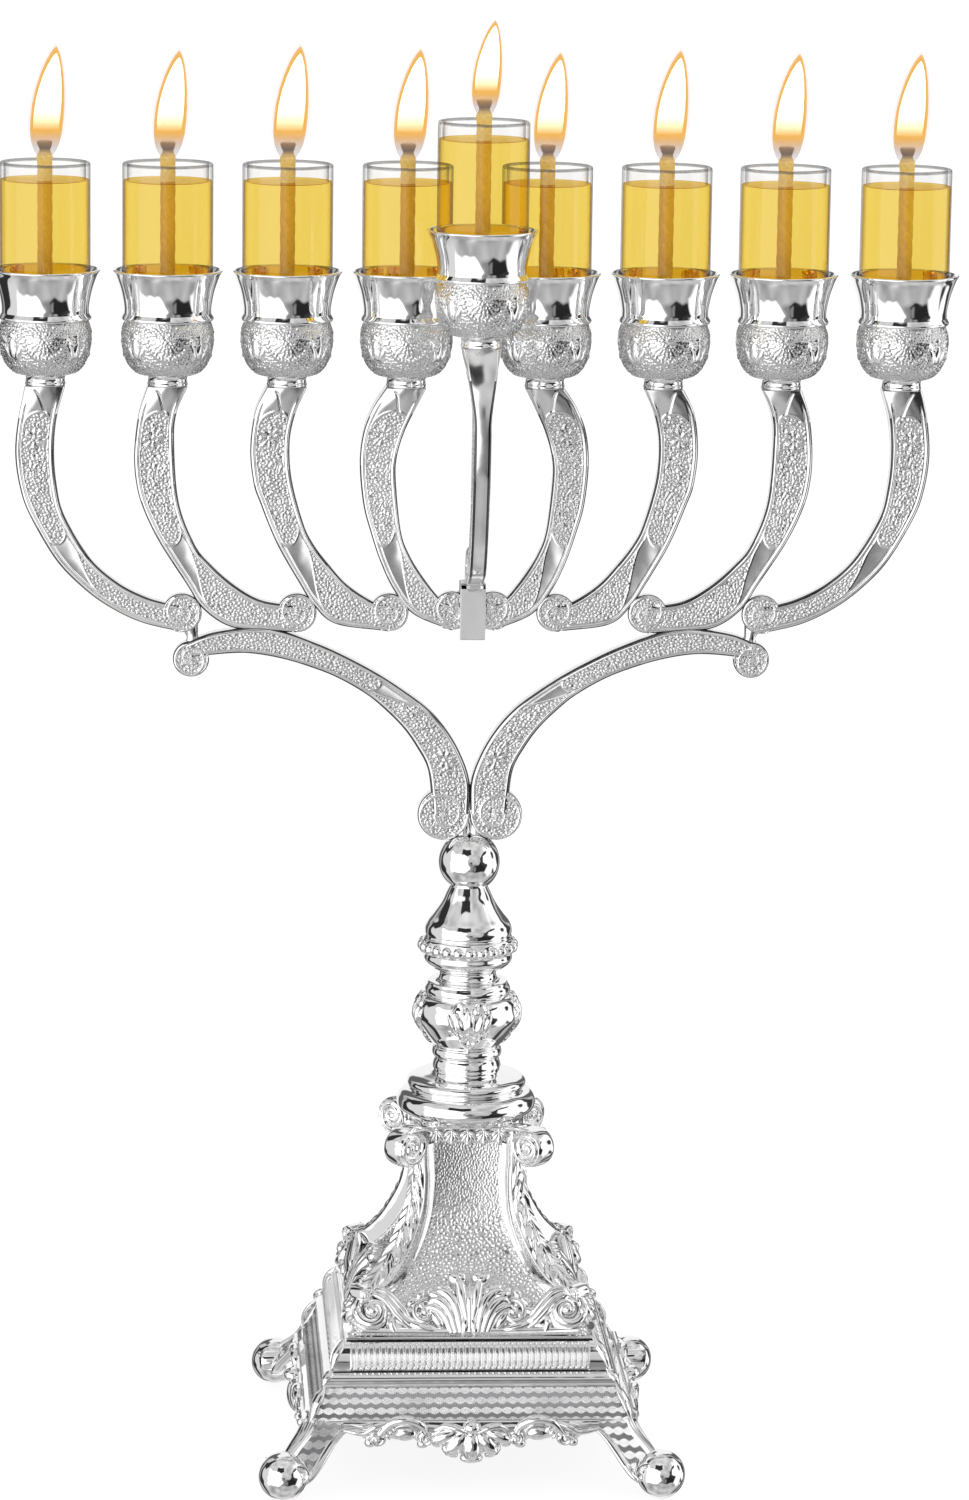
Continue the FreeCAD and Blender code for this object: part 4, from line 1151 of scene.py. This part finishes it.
def ornament_mesh():
    """Rococo crest of one pedestal face: a fan between C-scrolls, leafy volutes
    and two sweeping stems that end in large volutes."""
    mesh = Mesh()
    slope = Slope(mesh, -31.4, 38.9, 30.0)
    for x, up, radius, lift in ((0, 7.5, 5.0, -1.6), (11.5, 6.4, 4.3, -1.4), (20.0, 3.4, 3.4, 0.2),
                                (26.0, 5.6, 5.2, 1.6)):
        slope.lobe((x, up, lift), radius, radius, 1.3, 0, both=x > 0)
    slope.ribbon([(-29, 0.9, 1.6), (-20, 0.9, 0.6), (0, 0.9, -0.4), (20, 0.9, 0.6), (29, 0.9, 1.6)],
                 [1.2, 1.2], [1.4, 1.4], both=False)
    # centre lily
    slope.ribbon([(0, 0.8, 0.4), (0, 5, 1.2), (0, 10.5, 1.6), (0, 13.6, 1.0)],
                 [1.2, 1.0, 1.3, 0.4], [1.2, 1.6, 1.8, 0.5], both=False)
    slope.ribbon([(0.9, 0.8, 0.2), (0.9, 4.5, 0.8), (1.9, 9.6, 1.4), (2.4, 13.2, 1.4), (3.6, 15.2, 0.9),
                               (4.9, 14.6, 0.4)],
                 [0.9, 0.9, 1.4, 1.6, 1.5, 0.8], [1.2, 1.6, 1.9, 1.9, 1.5, 0.8])
    slope.lobe((2.2, 15.6, 0.9), 1.9, 1.7, 1.8, 20)
    # broad C-scrolls each side of the lily
    for shift, wide in ((0.0, 1.5), (2.4, 1.45), (4.6, 1.2)):
        slope.ribbon([(2.2 + 0.55 * shift, 0.7, 0.3), (3.0 + 0.8 * shift, 5.0, 0.8),
                                   (4.6 + 0.95 * shift, 9.2 - 0.5 * shift, 1.2),
                                   (7.2 + 0.8 * shift, 11.6 - 0.95 * shift, 1.2),
                                   (9.8 + 0.35 * shift, 10.8 - 1.1 * shift, 0.6)],
                     [wide * 0.8, wide, wide, wide, wide * 0.6], [1.2, 1.6, 1.8, 1.6, 0.8])
    for x, up, lift, long, wide, turn in ((1.7, 10.0, 0.9, 6.2, 1.9, 9), (3.6, 15.0, 1.2, 2.4, 1.8, 58),
                                          (1.0, 3.0, 0.6, 3.2, 1.5, -12), (4.3, 7.0, 0.5, 6.2, 1.7, 12),
                                          (7.0, 6.3, 0.4, 5.2, 1.5, 22), (9.3, 4.9, 0.3, 3.8, 1.4, 35),
                                          (6.3, 12.0, 0.8, 2.9, 1.6, 62), (8.6, 10.6, 0.7, 2.6, 1.5, 72)):
        slope.lobe((x, up, lift), long, wide, 1.7, turn)
    # leafy mid volutes
    slope.volute((11.8, 6.0), 3.7, 100, -480, 1.0, 1.2, 0.4)
    for turn, x, up in ((10, 10.2, 11.4), (-22, 13.0, 11.0), (-52, 15.3, 9.0), (-82, 16.3, 6.4)):
        slope.lobe((x, up, 0.5), 1.9, 1.15, 1.0, turn)
    for x, up in ((10.2, 7.4), (12.8, 8.0), (13.6, 5.4)):
        slope.lobe((x, up, 0.8), 0.95, 0.95, 0.9, 0)
    slope.ribbon([(8.0, 0.8, 0), (10.4, 1.5, 0.5), (13.4, 2.2, 0.8), (16.4, 3.6, 0.8), (18.2, 5.6, 0.3)],
                 [0.6, 1.3, 1.3, 1.0, 0.3], [0.8, 1.2, 1.3, 1.0, 0.4])
    # sweeping stems to the end volutes
    for rise, thick, start in ((0.0, 1.5, 12.5), (1.9, 1.1, 15.2), (-1.7, 0.9, 15.0)):
        slope.ribbon([(start, 2.2 + rise * 0.3, 0.2), (17.2, 4.2 + rise * 0.8, 1.2),
                                   (20.2, 7.4 + rise, 2.2), (23.0, 10.2 + rise * 0.7, 3.0),
                                   (26.4, 11.3 + rise * 0.3, 3.4)],
                     [0.4, thick, thick, thick, thick * 0.7], [0.6, 1.2, 1.4, 1.3, 0.9])
    slope.volute((26.0, 5.9), 5.0, 80, -500, 1.6, 1.6, 2.9)
    for turn, x, up in ((-32, 30.0, 10.2), (-66, 31.6, 7.0)):
        slope.lobe((x, up, 2.4), 1.9, 1.1, 1.1, turn)
    slope.ribbon([(20.2, 0.8, 1.0), (20.9, 3.0, 1.8), (20.3, 5.4, 1.8)], [1.1, 1.0, 0.4], [1.0, 1.1, 0.5])
    return mesh


# ---- plinth ----------------------------------------------------------------------
RIBBED = ((33.0, 38.4), (33.6, 38.2), (34.8, 37.1), (35.9, 35.4), (36.6, 33.4), (36.9, 31.4), (36.9, 30.3))
MOULDING = ((36.9, 30.3), (37.9, 30.1), (38.7, 29.4), (39.0, 28.4), (38.9, 27.3), (38.5, 26.6))
CHEQUERED = ((38.5, 26.6), (38.9, 25.6), (39.9, 22.8), (41.2, 20.4), (42.4, 18.8))


def plinth_mesh():
    """Stepped square plinth: a ribbed torus, a plain moulding, an engine-turned
    band with leafy mitres, and a cast apron under each side."""
    mesh = Mesh()
    square_sweep(mesh, [(42.4, 18.0), (40.2, 18.0), (30.0, 18.3), (0.5, 18.3)], 9)
    square_sweep(mesh, [(0.5, 38.9), (20.0, 38.9), (32.4, 38.9), (32.9, 38.75), (33.0, 38.4)][::-1], 9)

    def ribs(x, run, half):
        across = np.abs(np.mod(x + 0.8, 1.6) - 0.8)
        length = 8.6
        ends = np.minimum(run - 0.5, length - run)
        inside = np.minimum(0.58 - across, 0.58 - np.hypot(across, np.maximum(0.7 - ends, 0)))
        rib = smoothstep(0.0, 0.3, inside) - 0.30 * bump_line(across, 0.24) * smoothstep(0.7, 1.2, ends)
        band = smoothstep(31.9, 31.6, np.abs(x))
        return band * (1.25 * rib - 0.75) - 0.5 * (1 - band)

    square_sweep(mesh, spline(RIBBED, 44)[::-1], 720, relief=ribs)
    square_sweep(mesh, spline(MOULDING, 22)[::-1], 40)

    def checks(x, run, half):
        return 0.45 * bump_line(half - np.abs(x) - 0.8, 0.9)

    square_sweep(mesh, spline(CHEQUERED, 24)[::-1], 60, relief=checks, slot=1)
    square_sweep(mesh, [(42.4, 18.0), (42.5, 18.4), (42.4, 18.8)], 9)
    corner = Mesh()
    for (r0, z0), (r1, z1), wide in (((33.6, 38.6), (36.9, 31.6), 1.25), ((36.6, 31.2), (39.3, 27.6), 1.35),
                                     ((38.9, 27.4), (42.6, 19.0), 1.5)):
        proud = (r0 + r1) / 2 + 0.5
        path = spline([(r0, -r0, z0), (proud, -proud, (z0 + z1) / 2), (r1, -r1, z1)], 24)
        ribbon(corner, path, [0.25, wide, wide * 1.05, wide * 0.8, 0.3], [0.2, 0.75, 0.85, 0.7, 0.25],
               (1, -1, 0.4))
    mesh.take(corner.quarters())
    mesh.take(apron_mesh().quarters())
    return mesh


APRON_EDGE = ((0.0, 9.4), (2.6, 9.6), (4.2, 10.8), (6.4, 11.2), (8.0, 12.6), (10.0, 13.2), (11.2, 13.6),
              (12.6, 12.6), (14.2, 13.4), (15.4, 14.2), (19.0, 13.8), (22.6, 14.6), (24.4, 13.6),
              (26.6, 13.0),
              (28.2, 14.2), (30.0, 15.4), (34.0, 15.9))


def apron_mesh():
    """Cast apron of one side: a five-lobed shell, cartouches and small scrolls on a
    backing that follows their lower edge."""
    mesh = Mesh()
    slope = Slope(mesh, -43.2, 0.0, -4.0)
    x = np.linspace(-34.0, 34.0, 180)
    edge = np.interp(np.abs(x), *np.array(APRON_EDGE).T)
    top = 19.4
    grid = np.array([slope.at([(u, top, -0.7), (u, top, 0.5), (u, (top + low) / 2, 0.35), (u, low + 0.5, 0.3),
                               (u, low + 0.1, -0.1), (u, low + 0.4, -0.7), (u, (top + low) / 2, -0.7)])
                     for u, low in zip(x, edge)])
    mesh.grid(grid, wrap_v=True)
    mesh.fan(grid[0], grid[0].mean(axis=0))
    mesh.fan(grid[-1], grid[-1].mean(axis=0), flip=True)
    # shell
    slope.lobe((0, 18.4, 1.8), 2.0, 2.5, 2.5, 0, both=False)
    slope.lobe((0, 12.6, 1.5), 4.6, 2.6, 2.4, 0, both=False)
    slope.lobe((4.1, 13.5, 1.1), 4.3, 2.3, 2.1, -38)
    slope.lobe((7.2, 15.4, 0.8), 3.9, 1.8, 1.8, -66)
    slope.lobe((0, 9.4, 1.0), 1.6, 3.1, 1.9, 0, both=False)
    slope.lobe((5.7, 11.2, 0.7), 1.5, 2.6, 1.7, -38)
    slope.lobe((9.4, 14.0, 0.5), 1.4, 2.0, 1.5, -66)
    slope.ribbon([(1.8, 16.8, 1.2), (4.2, 17.9, 1.3), (7.2, 18.2, 0.9), (9.8, 17.0, 0.5)],
                 [0.8, 1.0, 0.9, 0.3], [1.2, 1.3, 1.0, 0.4])
    # scroll between shell and cartouche
    slope.volute((11.8, 14.6), 1.9, 60, -400, 0.75, 1.1, 0.6)
    slope.lobe((12.9, 13.3, 0.5), 1.4, 1.6, 1.3, 20)
    # cartouche: smooth oval field in a raised frame
    slope.ribbon([(12.0, 16.4, 0.5), (13.4, 18.6, 0.7), (16.4, 20.0, 0.8), (19.4, 20.0, 0.8),
                               (22.0, 18.8, 0.7), (23.6, 16.8, 0.6), (24.8, 15.2, 0.5)],
                 [0.8, 1.1, 1.2, 1.2, 1.1, 1.0, 0.6], [0.9, 1.3, 1.5, 1.5, 1.3, 1.1, 0.6])
    slope.ribbon([(14.6, 14.6, 0.4), (14.4, 16.8, 0.6), (16.2, 18.4, 0.7), (19.0, 18.4, 0.7),
                               (20.6, 17.4, 0.5)], [0.35, 0.4, 0.45, 0.4, 0.2], [0.5, 0.6, 0.7, 0.6, 0.3])
    slope.lobe((17.6, 15.8, 0.0), 2.0, 3.0, 0.9, 0)
    for across, up in ((20.4, 17.0), (21.4, 16.2), (22.2, 15.3)):
        slope.lobe((across, up, 0.6), 1.1, 0.55, 0.6, 35)
    # curls towards the leg
    slope.volute((25.2, 14.7), 1.9, 180, 380, 0.75, 1.1, 0.6)
    slope.lobe((27.0, 13.6, 0.5), 1.4, 1.4, 1.2, -20)
    slope.ribbon([(22.6, 19.0, 0.5), (25.6, 18.0, 0.6), (28.4, 16.4, 0.6), (31.4, 16.6, 0.6),
                               (34.0, 17.0, 0.3)], [0.4, 0.9, 0.9, 0.8, 0.3], [0.6, 1.0, 1.0, 0.8, 0.3])
    slope.ribbon([(26.0, 19.2, 0.3), (29.0, 18.4, 0.5), (32.0, 18.8, 0.4)], [0.3, 0.6, 0.2],
                 [0.5, 0.7, 0.3])
    return mesh


# ---- legs and feet ---------------------------------------------------------------
LEG_CORNER = ((42.4, 19.3), (42.9, 18.2), (43.9, 16.6), (45.3, 15.0), (47.0, 13.4), (48.6, 11.6), (49.6, 9.0),
              (50.0, 6.0), (50.1, 3.0))
LEG_INNER = ((29.0, 17.6), (32.4, 16.6), (35.1, 14.2), (37.3, 11.4), (39.4, 8.4), (41.8, 5.4), (44.4, 3.4),
             (47.4, 1.9), (50.0, 1.2))
LEG_FLARE = ((19.5, 42.4), (17.0, 43.2), (14.0, 45.0), (11.0, 47.2), (8.0, 49.2), (5.0, 50.3), (0.5, 50.6))


def leg_mesh():
    """One corner leg: two mirror-image faces meeting along the corner, each with an
    engine-turned panel between polished rims and a scroll against the ball."""
    half = Mesh()
    corner = spline(LEG_CORNER, 110)
    inner = spline(LEG_INNER, 110)
    flare = np.array(LEG_FLARE)[::-1]
    low = np.stack([inner[:, 0], np.interp(inner[:, 1], flare[:, 0], flare[:, 1]), inner[:, 1]], -1)
    high = np.stack([corner[:, 0], corner[:, 0], corner[:, 1]], -1)
    across = np.linspace(0, 1, 56)
    width = np.linalg.norm(high - low, axis=1)
    span = across[None, :] * width[:, None]
    run = length_along(low)
    other = width[:, None] - span
    height = 1.3 * rounding(span / 0.9) - 0.9 * smoothstep(1.3, 2.3, span) - 0.25
    height += 0.55 * bump_line(other - 0.8, 0.9)
    spot = low[:, None] + (high - low)[:, None] * across[None, :, None]
    out = spot[..., 1] + height
    front = np.stack([spot[..., 0], -out, spot[..., 2]], -1)
    back = np.stack([spot[..., 0], -(spot[..., 1] - 2.4), spot[..., 2]], -1)[:, ::-1]
    ring = np.concatenate([front, back], axis=1)
    panel = (span > 2.2) & (other > 1.5) & (run[:, None] < 22.0)
    panel = np.concatenate([panel, np.zeros(span.shape, bool)], axis=1)
    uv = np.concatenate([np.stack([spot[..., 0], spot[..., 2]], -1)] * 2, axis=1)
    half.grid(ring, wrap_v=True, slot=panel.astype(int), uv=uv)
    half.fan(ring[0], ring[0].mean(axis=0))
    half.fan(ring[-1], ring[-1].mean(axis=0), flip=True)
    roll = Mesh()
    roll_volute(roll, (46.0, 7.6), 2.9, 2.6)
    half.take(roll.moved((0, -51.3, 0)))
    half.take(half.changed([[0, -1, 0], [-1, 0, 0], [0, 0, 1]]))
    return half


def ball_mesh():
    """A ball foot, slightly flattened where it stands."""
    mesh = Mesh()
    turn = np.radians(np.linspace(-74.0, 89.0, 40))
    lathe(mesh, np.stack([6.5 * np.cos(turn), 6.25 + 6.5 * np.sin(turn)], -1), 72,
          centre=(50.1, -50.1), cap_low=True, cap_high=True)
    return mesh


# ---- materials and pieces --------------------------------------------------------
SILVER = polished_silver()
ARM_SILVER = polished_silver("arm_silver", 0.84, 0.93, 0.13)
# painted shade: near-black silver for the arms' edges, standing in for the dark reflection along them
PAINTED_EDGE_SHADE = polished_silver("painted_edge_shade_silver", 0.07, 0.15)
SADDLE = polished_silver("saddle_silver", 0.80, 0.88, 0.42)
EMBOSSED = grained_silver("embossed_silver", 0.45, 0.10, 0.12, 0.68, 0.92)
HAMMERED = grained_silver("hammered_silver", 0.45, 0.06, 0.14)
ENGINE_TURNED_PAINTED_SHEEN = engine_turned()
ARM_FINISH = (ARM_SILVER, EMBOSSED, PAINTED_EDGE_SHADE, SADDLE)
GLASS = clear_glass()
# painted shade: the rim lets less through and greys further at its edges
GLASS_RIM_PAINTED_SHADE = clear_glass("glass_rim_painted_shade", 0.62, 0.30, 0.10, 0.5)
OIL = lamp_oil()
WICK = wick_cotton()
STEEL = plain_steel()
FLAME_HALO = flame("flame_halo", (0.50, 0.44, 0.50), (0.85, 0.58, 0.45), 1.0, 0.06, 0.18)
FLAME_OUTER = flame("flame_outer", (0.34, 0.27, 0.25), (0.88, 0.44, 0.04), 1.0, 0.20, 0.66, (0.04, 0.24))
FLAME_MIDDLE = flame("flame_middle", (0.92, 0.48, 0.06), (0.95, 0.50, 0.03), 1.0, 0.0, 0.75, (0.12, 0.28))
FLAME_CORE = flame("flame_core", (1.0, 0.62, 0.10), (1.0, 0.95, 0.84), 26.0, 0.0, 1.0, (0.20, 0.70))

LIGHT_DATA = (
    ("candle_cup", cup_mesh().data("candle_cup"), (SILVER, EMBOSSED), "polished_silver"),
    ("glass", glass_mesh().data("glass"), (GLASS, GLASS_RIM_PAINTED_SHADE), "clear_glass"),
    ("oil", oil_mesh().data("oil"), (OIL,), "lamp_oil"),
    ("wick", wick_mesh().data("wick"), (WICK, STEEL), "wick_cotton"),
)
GLASS_TOP = 58.5                   # glass rim above the cup's collar
FLAME_LEAN = 3.0
FLAME_SHELLS = (                   # layer, material, half width, foot and tip
    ("halo", FLAME_HALO, 4.9, 58.8, 89.0),
    ("outer", FLAME_OUTER, 4.3, 59.8, 88.2),
    ("middle", FLAME_MIDDLE, 3.95, 60.6, 87.4),
    ("core", FLAME_CORE, 3.45, 62.0, 86.4),
)
FLAME_SIZES = {"1": 1.0, "2": 0.97, "3": 1.02, "4": 1.0, "5": 0.98, "6": 1.01, "7": 0.99, "8": 1.0,
               "shamash": 0.85}
for light, size in FLAME_SIZES.items():
    x, y = middle_mm("glass_" + light)[:2]
    spot = (x, y, node_mm("glass_" + light)[1][2] - GLASS_TOP)
    at = Matrix.Translation(Vector(spot) * MM)
    for kind, data, finish, slot_name in LIGHT_DATA:
        body = "light_" + light
        if kind == "candle_cup":
            body = "shamash" if light == "shamash" else "frame"
        place(data, kind + "_visual_" + light, body, finish, [kind + "_" + light], at)
    for layer, material, width, foot, tip in FLAME_SHELLS:
        shell = flame_mesh(width * size, foot, foot + (tip - foot) * size, FLAME_LEAN * size)
        place(shell.data("flame_" + layer), "flame_" + layer + "_" + light, "light_" + light,
              (material,), (), at)

for number in range(1, 5):
    x = middle_mm("candle_cup_" + str(4 + number))[0]
    right = arm_mesh(number).moved((x, 0, 0))
    for arm, side, index in ((right, "right", 4 + number), (right.mirrored(), "left", 5 - number)):
        place(arm.data("arm_" + side), "arm_visual_" + str(index), "frame", ARM_FINISH,
              ["arm_" + str(index)])
branch = branch_mesh()
for half, side in ((branch, "right"), (branch.mirrored(), "left")):
    place(half.data("branch_" + side), "main_branch_visual_" + side, "frame", ARM_FINISH,
          ["main_branch_" + side])

for node, mesh, body, finish, slot_name in (
        ("shamash_arm", shamash_arm_mesh(), "shamash", ARM_FINISH, "embossed_silver"),
        ("capital", capital_mesh(), "frame", (SILVER,), "polished_silver"),
        ("vase_knop", vase_mesh(), "frame", (SILVER,), "polished_silver"),
        ("beaded_collar", beaded_mesh(), "frame", (SILVER,), "polished_silver"),
        ("stem_ball", stem_ball_mesh(), "frame", (SILVER,), "polished_silver"),
        ("pedestal", pedestal_mesh(), "frame", (HAMMERED, SILVER), "hammered_silver"),
        ("corner_scrolls", bracket_mesh().moved(turn_deg=-45).quarters(), "frame", (SILVER,),
         "polished_silver"),
        ("base_ornaments", ornament_mesh().quarters(), "frame", (SILVER,), "polished_silver"),
        ("plinth", plinth_mesh(), "frame", (SILVER, ENGINE_TURNED_PAINTED_SHEEN), "engine_turned_silver"),
        ("corner_legs", leg_mesh().quarters(), "frame", (SILVER, ENGINE_TURNED_PAINTED_SHEEN), "polished_silver"),
        ("ball_feet", ball_mesh().quarters(), "frame", (SILVER,), "polished_silver")):
    place(mesh.data(node), node + "_visual", body, finish, [node])
for node in ("tie_rod", "rod_nut", "bottom_plate"):
    solid = bpy.data.objects[node]
    solid.data.materials.clear()
    solid.data.materials.append(STEEL)


# ---- camera, light and floor -----------------------------------------------------
FLOOR_HALF = 30000.0
FLOOR_BELOW = 0.05                 # under the feet, so that they don't share a plane
FLOOR_GLOW = 0.88                  # with the light on it, the floor shows as white


def floor():
    make = Finish("white_floor")
    colour = make.blend(make.noise(3.0, 1.0), (0.14,) * 3, (0.15,) * 3)
    shader = make.node("BsdfPrincipled", {"Base Color": colour, "Roughness": 0.9,
                                          "Emission Color": (1, 1, 1, 1), "Emission Strength": FLOOR_GLOW})
    mesh = Mesh()
    corners = [(x * FLOOR_HALF, y * FLOOR_HALF, -FLOOR_BELOW)
               for x, y in ((-1, -1), (1, -1), (1, 1), (-1, 1))]
    mesh.add(corners, [range(4)])
    piece = bpy.data.objects.new("floor", mesh.data("floor"))
    piece.data.materials.append(make.show(shader.outputs["BSDF"]))
    bpy.context.collection.objects.link(piece)
    piece.visible_glossy = False


def camera():
    """A long lens, a little above the lights and to the left."""
    data = bpy.data.cameras.new("camera")
    data.sensor_fit = "VERTICAL"
    data.sensor_height = SENSOR_HEIGHT
    data.lens = SENSOR_HEIGHT * FOCAL_IN_FRAME_HEIGHTS
    data.clip_start = 0.05
    data.clip_end = 200.0
    eye = bpy.data.objects.new("camera", data)
    at = Vector(CAMERA_AT) * MM
    towards = Vector(CAMERA_LOOKS_AT) * MM
    aim = (towards - at).to_track_quat("-Z", "Y").to_matrix().to_4x4()
    eye.matrix_world = Matrix.Translation(at) @ aim @ Matrix.Rotation(CAMERA_ROLL, 4, "Z")
    bpy.context.collection.objects.link(eye)
    bpy.context.scene.camera = eye


def studio():
    """What the silver reflects: a large surround of pale panels with dark gaps, which
    only reflections see, and plain white light from all round for everything else."""
    world = bpy.data.worlds.new("white")
    bpy.context.scene.world = world
    world.use_nodes = True
    background = world.node_tree.nodes["Background"]
    background.inputs["Color"].default_value = (1, 1, 1, 1)
    background.inputs["Strength"].default_value = 1.0

    make = Finish("surround")
    way = make.node("VectorMath", {0: make.here()}, operation="NORMALIZE").outputs[0]
    x, y, z = make.node("SeparateXYZ", {0: way}).outputs

    def uneven(scale, low, high):
        return make.ramp(make.noise(scale, 1.0, way), 0.3, 0.7, low, high)

    def degrees(angle, low, high):
        """An angle in degrees, bent so that the panels' edges aren't straight."""
        return make.maths("ADD", make.maths("MULTIPLY", angle, 180 / math.pi), uneven(1.7, low, high))

    azimuth = degrees(make.maths("ARCTAN2", x, make.maths("MULTIPLY", y, -1.0)), -15.0, 15.0)
    height = degrees(make.maths("ARCSINE", z), 8.0, -8.0)
    level = make.ramp(height, -8.0, 50.0, 0.52, 0.72)
    level = make.maths("MAXIMUM", level, make.ramp(height, -38.0, -55.0, 0.0, 0.66))
    level = make.maths("MULTIPLY", level, uneven(2.4, 0.62, 1.18))
    for centre, half, low, high, lean, soft, brightness in SURROUND:
        shifted = make.maths("SUBTRACT", azimuth, make.maths("MULTIPLY", height, lean))
        away = make.maths("ABSOLUTE", make.maths("SUBTRACT", shifted, centre))
        mask = make.maths("MULTIPLY", make.ramp(away, half + soft, half), make.ramp(height, low - soft, low))
        mask = make.maths("MULTIPLY", mask, make.ramp(height, high + soft, high))
        level = make.between(mask, level, brightness)

    mesh = Mesh()
    ellipsoid(mesh, (0, 0, 0), (SURROUND_RADIUS,) * 3, rows=48, columns=96)
    surround = bpy.data.objects.new("surround", mesh.data("surround"))
    surround.location = (0, 0, 0.2)
    surround.data.materials.append(make.show(make.node("Emission", {"Strength": level}).outputs[0]))
    bpy.context.collection.objects.link(surround)
    for ray in ("camera", "diffuse", "transmission", "shadow", "volume_scatter"):
        setattr(surround, "visible_" + ray, False)


SURROUND_RADIUS = 6000
# Panels of the surround: middle direction (0 is the front, + to the right), half
# width, lowest and highest angle, lean, softness of the edge (degrees), brightness.
SURROUND = (
    (-50, 34, -28, 28, 0.0, 5, 1.5),
    (-96, 12, -30, 30, 0.0, 5, 0.72),
    (88, 22, -30, 44, 0.0, 6, 1.15),
    (8, 10, -26, -2, 0.0, 9, 0.25),
    (34, 24, -26, 0, 0.0, 3, 0.02),
    (4, 24, 34, 56, -0.4, 3, 0.03),
    (58, 6, -8, 36, 0.3, 3, 0.04),
    (-118, 10, -60, 60, 0.0, 3, 0.03),
    (120, 8, -60, 60, 0.0, 3, 0.05),
    (-151, 8, -60, 60, 0.0, 4, 0.12),
    (151, 8, -60, 60, 0.0, 4, 0.12),
    (180, 16, -60, 60, 0.0, 5, 0.95),
    (-180, 16, -60, 60, 0.0, 5, 0.95),
)


floor()
camera()
studio()
bpy.context.scene.view_settings.view_transform = "Standard"
